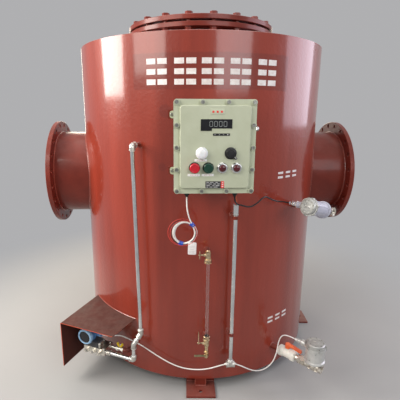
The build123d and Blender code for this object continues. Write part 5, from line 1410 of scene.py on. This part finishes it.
grip.plate(0.038, 0.0104, 0.0052, 0.0025, frameAt((gaugeX - 0.0475, -0.8456, place["gaugeDrain"]), (0, -1, 0)), 0.0014, 4)
grip.piece("gaugeDrainGrip", "agedBrass", "gauge_drain_lever")
print("gauge dressed")


# ---- the transmitter, its manifold and the low tap

transmitterValues = {"across": 0.127, "back": 0.105, "level": 0.288, "length": 0.084, "cover": 0.045, "coverLong": 0.019}
v = transmitterValues
hoodMatrix = lambda across, back, level, out=1: frameAt(hoodPoint(across, back, level), hoodOut * out, hoodAcross)
coverRibs, bezelGlass, innerDial = Maker(), Maker(), Maker()
for back, out in ((v["back"] - v["length"] / 2, 1), (v["back"] + v["length"] / 2, -1)):
    at = hoodMatrix(v["across"], back, v["level"], out)
    for k in range(12):
        rib = at @ Matrix.Rotation(2 * math.pi * (k + 0.5) / 12, 4, "Z") @ Matrix.Translation((v["cover"] + 0.0003, 0, 0.0030))
        coverRibs.plate(0.0032, 0.0065, 0.0115, 0.0012, rib, 0.0008, 3)
    coverRibs.lathe([(0.0372, 0.0178), (0.0372, 0.0188), (0.0385, 0.0198), (0.0405, 0.0198), (0.0415, 0.0188), (0.0415, 0.0178), (0.0372, 0.0178)], at, 48)
coverRibs.piece("coverRibs", "coverBlue")
front = hoodMatrix(v["across"], v["back"] - v["length"] / 2, v["level"])
bezelGlass.lathe([(0.0358, 0.0121), (0.0358, 0.0136), (0.030, 0.0142), (0.015, 0.0146), (0, 0.0147)], front, 48)
bezelGlass.piece("transmitterGlass", "darkWindow")
innerDial.lathe([(0.0362, 0.0121), (0.0362, 0.0145), (0.0352, 0.0150), (0.0340, 0.0145), (0.0338, 0.0121)], front, 48)
innerDial.piece("transmitterGlassRing", "capsuleDark")
body = Maker()
top = frameAt(hoodPoint(v["across"], v["back"], v["level"] + 0.0405), (0, 0, 1), hoodAcross)
body.plate(0.034, 0.020, 0.0030, 0.003, top, 0.0012)
side = frameAt(hoodPoint(v["across"] + 0.0385, v["back"] + 0.0, v["level"] + 0.0), hoodAcross, (0, 0, 1))
neck = frameAt(hoodPoint(v["across"], v["back"], 0.2465), (0, 0, 1), hoodAcross)
body.lathe([(0.0222, -0.001), (0.0252, 0), (0.0256, 0.0012), (0.0256, 0.0060), (0.0246, 0.0072), (0.0222, 0.0078)], neck, 36)
for k in range(3):
    addHexHead(body, neck @ Matrix.Rotation(2.1 * k + 0.6, 4, "Z") @ Matrix.Translation((0.0250, 0, 0.0035)) @ Matrix.Rotation(math.pi / 2, 4, "Y"), 0.005, 0.0022)
body.piece("transmitterTrim", "transmitterBlue")
blank = Maker()
blank.plate(0.030, 0.016, 0.0008, 0.0015, top @ Matrix.Translation((0, 0, 0.0030)), 0.0002)
for way in (-1, 1):
    blank.lathe([(0.0014, 0), (0.0013, 0.0006), (0, 0.0010)], top @ Matrix.Translation((way * 0.0128, 0, 0.0038)), 12)
blank.piece("transmitterPlate", "brightSteel")
entry = frameAt(hoodPoint(v["across"] + 0.041 + 0.026, v["back"], v["level"]), hoodAcross, (0, 0, 1))
entryNut = Maker()
addHexHead(entryNut, entry, 0.0245, 0.0075, 0.4)
entryNut.lathe([(0.0100, 0.0070), (0.0105, 0.0075), (0.0098, 0.0076), (0.0060, 0.0079), (0.0034, 0.0079)], entry, 24)
entryNut.piece("transmitterEntryNut", "nickelBrass")
capsuleBits, capsuleBolts = Maker(), Maker()
for across in (0.150 - 0.0465, 0.150 + 0.0465):
    out = -1 if across < 0.15 else 1
    flangePlate = frameAt(hoodPoint(across, v["back"], 0.229), hoodAcross * out, (0, 0, 1))
    capsuleBits.plate(0.032, 0.056, 0.007, 0.006, flangePlate, 0.0015)
    for up in (-0.0095, 0.0095):
        for deep in (-0.019, 0.019):
            addHexHead(capsuleBolts, flangePlate @ Matrix.Translation((up, deep, 0.007)), 0.0105, 0.0052, up * 40 + deep * 20)
capsuleBits.piece("capsuleFlanges", "stainless")
capsuleBolts.piece("capsuleBolts", "screwSteel")
manifold, knobs = Maker(), Maker()
for share in (0.2, 0.5, 0.8):
    across = 0.095 + share * 0.141
    tip = frameAt(hoodPoint(across, 0.118 - 0.042 - 0.026, 0.193), hoodOut, hoodAcross)
    manifold.lathe([(0.0072, -0.0125), (0.0078, -0.0118), (0.0078, -0.0090), (0.0058, -0.0078), (0.0058, -0.0050), (0.0046, -0.0040)], tip, 20)
    knobs.plate(0.024, 0.0056, 0.0056, 0.0026, tip @ Matrix.Rotation(0.9 * share - 0.3, 4, "Z") @ Matrix.Translation((0, 0, -0.0040)), 0.0016, 3)
    knobs.lathe([(0.0062, -0.0046), (0.0062, 0.0012), (0.0052, 0.0024), (0, 0.0026)], tip, 20)
for x in (0.108, 0.2235):
    for y in (0.085, 0.151):
        addHexHead(manifold, frameAt(hoodPoint(x, y, 0.212), (0, 0, 1), hoodAcross), 0.0105, 0.0050, x * 30)
manifold.piece("manifoldGlandNuts", "stainless")
knobs.piece("manifoldBars", "stainless")
tapTop = frameAt(hoodPoint(0.297, 0.145, 0.193 + 0.0152), (0, 0, 1), hoodAcross)
tapNut = Maker()
addHexHead(tapNut, tapTop @ Matrix.Translation((0, 0, 0.0095)), 0.0092, 0.0040, 0.2)
tapNut.lathe([(0.0026, 0.0094), (0.0026, 0.0150), (0.0018, 0.0156), (0, 0.0156)], tapTop, 12)
tapNut.piece("tapHandleNut", "brightSteel", "low_tap_handle")
tapWings = Maker()
for way in (-1, 1):
    wing = tapTop @ Matrix.Translation((way * 0.0165, 0, 0.0146))
    tapWings.lathe([(0, -0.0050), (0.0042, -0.0036), (0.0056, 0.0), (0.0048, 0.0042), (0.0026, 0.0062), (0, 0.0068)], wing @ Matrix.Rotation(way * 0.35, 4, "Y"), 16,
                   shape=lambda k, h: 1.12 if k % 8 in (0, 1, 7) else 0.96)
tapWings.piece("tapHandleWings", "yellowEnamel", "low_tap_handle")
print("transmitter dressed")


# ---- motor valves. In each valve's frame X goes out along the pipe and Z along the stem.

inletOut, outletOut = heading(40), heading(42.9)
inletStem = heading(-50) * math.cos(math.radians(16)) + Vector((0, 0, math.sin(math.radians(16))))
outletRoot = heading(32, 0.750, 0.184)
motorValues = {
    "inlet": {"frame": frameAt(heading(40, 0.944, 1.039), inletStem, inletOut), "radius": 0.043, "total": 0.200, "housing": "lilacGrey", "screws": 10},
    "outlet": {"frame": frameAt(outletRoot + outletOut * 0.262, (0, 0, 1), outletOut), "radius": 0.053, "total": 0.147, "housing": "castGrey", "screws": 8},
}
for name, v in motorValues.items():
    at, radius, total = v["frame"], v["radius"], v["total"]
    lid, trim, valveTrim = Maker(), Maker(), Maker()
    for k in range(v["screws"]):
        spot = at @ Matrix.Rotation(2 * math.pi * (k + 0.5) / v["screws"], 4, "Z") @ Matrix.Translation((radius - 0.0135, 0, total - 0.0006))
        addHexHead(lid, spot, 0.0058, 0.0026, k * 0.7)
    lid.piece(name + "CoverScrews", "screwSteel")
    face = Maker()
    face.lathe([(radius - 0.021, total - 0.0003), (radius - 0.0205, total + 0.0011), (radius - 0.0240, total + 0.0014), (radius - 0.0245, total - 0.0003)], at, 40)
    face.plate(0.030, 0.014, 0.0008, 0.002, at @ Matrix.Translation((0, 0, total)), 0.0003)
    face.lathe([(radius + 0.0020, total - 0.0205), (radius + 0.0028, total - 0.0200), (radius + 0.0028, total - 0.0192), (radius + 0.0020, total - 0.0188)], at, 48)
    for k in range(6):
        lug = at @ Matrix.Rotation(2 * math.pi * k / 6 + 0.26, 4, "Z") @ Matrix.Translation((radius + 0.0012, 0, total - 0.0285))
        face.plate(0.0075, 0.0110, 0.0160, 0.0034, lug, 0.0010, 4)
    face.piece(name + "CoverTrim", "capGrey")
    for k in range(6):
        spot = at @ Matrix.Rotation(2 * math.pi * k / 6 + 0.26, 4, "Z") @ Matrix.Translation((radius + 0.0016, 0, total - 0.0125))
        addHexHead(trim, spot, 0.0055, 0.0030, k)
    for k in range(4):
        spot = at @ Matrix.Rotation(math.pi / 4 + math.pi / 2 * k, 4, "Z") @ Matrix.Translation((0.0245, 0, 0.0258))
        addHexHead(trim, spot @ Matrix.Rotation(math.pi, 4, "X") @ Matrix.Translation((0, 0, -0.0004)), 0.0085, 0.0042, k)
    trim.piece(name + "MotorBolts", "screwSteel")
    arm = Maker()
    level = total - 0.037
    for reach, thick, wide in ((0.0760, 0.0172, 0.0052), (0.0560, 0.0165, 0.0030), (0.0930, 0.0112, 0.0040), (0.1020, 0.0108, 0.0040)):
        ring = at @ Matrix.Translation((-reach, 0, level)) @ Matrix.Rotation(math.pi / 2, 4, "Y")
        arm.lathe(rimProfile(thick, wide, thick - 0.003), ring, 32)
    addHexHead(arm, at @ Matrix.Translation((-0.1000, 0, level)) @ Matrix.Rotation(-math.pi / 2, 4, "Y"), 0.0215, 0.0090, 0.3)
    arm.piece(name + "ArmRings", "nickelBrass" if name == "inlet" else "castGrey")
    ribs = Maker()
    for k in range(8):
        rib = at @ Matrix.Rotation(2 * math.pi * k / 8 + 0.39, 4, "Z") @ Matrix.Translation((radius - 0.0048, 0, 0.0455))
        ribs.plate(0.0030, 0.0028, total - 0.0455 - 0.0325, 0.0008, rib, 0.0005, 2)
    ribs.piece(name + "HousingRibs", v["housing"])
    for way in (-1, 1):
        for k in range(4):
            angle = math.pi / 4 + math.pi / 2 * k
            spot = at @ Matrix.Rotation(way * math.pi / 2, 4, "Y") @ Matrix.Rotation(angle, 4, "Z") @ Matrix.Translation((0.0232, 0, 0.0110))
            valveTrim.lathe([(0.0034, 0), (0.0034, 0.0150), (0.0028, 0.0160), (0, 0.0160)], spot, 12)
        ring = at @ Matrix.Rotation(way * math.pi / 2, 4, "Y") @ Matrix.Translation((0, 0, 0.0300))
        valveTrim.lathe(rimProfile(0.0212, 0.0035, 0.0185), ring, 32)
    valveTrim.lathe([(0.0128, 0), (0.0136, 0.0008), (0.0136, 0.0040), (0.0112, 0.0052), (0.0112, 0)], at @ Matrix.Translation((0, 0, 0.0192)), 24)
    valveTrim.piece(name + "ValveTrim", "nickelBrass")
    threads = Maker()
    mouth = at @ Matrix.Translation((0.028, 0, 0)) @ Matrix.Rotation(math.pi / 2, 4, "Y")
    rings, level = [(0.01515, 0.0002)], 0.0006
    while level < 0.0170:
        rings += [(0.01515, level), (0.0142, level + 0.0006), (0.01515, level + 0.0012)]
        level += 0.0016
    threads.lathe(rings, mouth, 32)
    threads.piece(name + "MouthThread", "nickelBrass", sharp=60)
print("motor valves dressed")


# ---- the white plastic valve and its orange lever

plasticMatrix = frameAt(outletRoot + outletOut * 0.102, (0, 0, 1), outletOut)
unions = Maker()
for way in (-1, 1):
    axis = plasticMatrix @ Matrix.Translation((way * 0.038, 0, 0)) @ Matrix.Rotation(math.pi / 2, 4, "Y")
    for k in range(18):
        rib = axis @ Matrix.Rotation(2 * math.pi * k / 18, 4, "Z") @ Matrix.Translation((0.0302, 0, -0.0085))
        unions.plate(0.0024, 0.0046, 0.0170, 0.0010, rib, 0.0008, 3)
    unions.lathe(rimProfile(0.0265, 0.003, 0.0235), plasticMatrix @ Matrix.Translation((way * 0.0205, 0, 0)) @ Matrix.Rotation(math.pi / 2, 4, "Y"), 36)
sleeve = plasticMatrix @ Matrix.Rotation(math.pi / 2, 4, "Y")
unions.lathe([(0.0236, -0.0245), (0.0268, -0.0240), (0.0280, -0.0215), (0.0280, -0.0040), (0.0274, 0), (0.0280, 0.0040), (0.0280, 0.0215), (0.0268, 0.0240),
              (0.0236, 0.0245)], sleeve, 40)
unions.lathe([(0.0126, 0), (0.0150, 0.0004), (0.0150, 0.0036), (0.0138, 0.0048), (0.0126, 0.0050)], plasticMatrix @ Matrix.Translation((0, 0, 0.0236)), 32)
unions.piece("unionRibs", "whitePlastic")
leverMatrix = plasticMatrix @ Matrix.Translation((0, 0, 0.058))
lever = Maker()
lever.lathe([(0.0146, -0.0010), (0.0152, 0.0), (0.0146, 0.0022), (0.0118, 0.0034), (0.0070, 0.0036), (0, 0.0036)], leverMatrix, 32)
for k in range(7):
    rib = leverMatrix @ Matrix.Translation((0.034 + 0.0065 * k, 0, -0.0006 - 0.00095 * k)) @ Matrix.Rotation(math.radians(8.4), 4, "Y")
    lever.plate(0.0024, 0.0140, 0.0016, 0.0011, rib, 0.0008, 3)
for way in (-1, 1):
    lever.sweep([leverMatrix @ Vector((0.006 + 0.013 * k, way * 0.0074, 0.0006 - (0.0019 * max(0, k - 2)))) for k in range(7)], 0.0014, 8)
lever.piece("leverRibs", "orangePlastic", "plastic_lever")
print("plastic valve dressed")
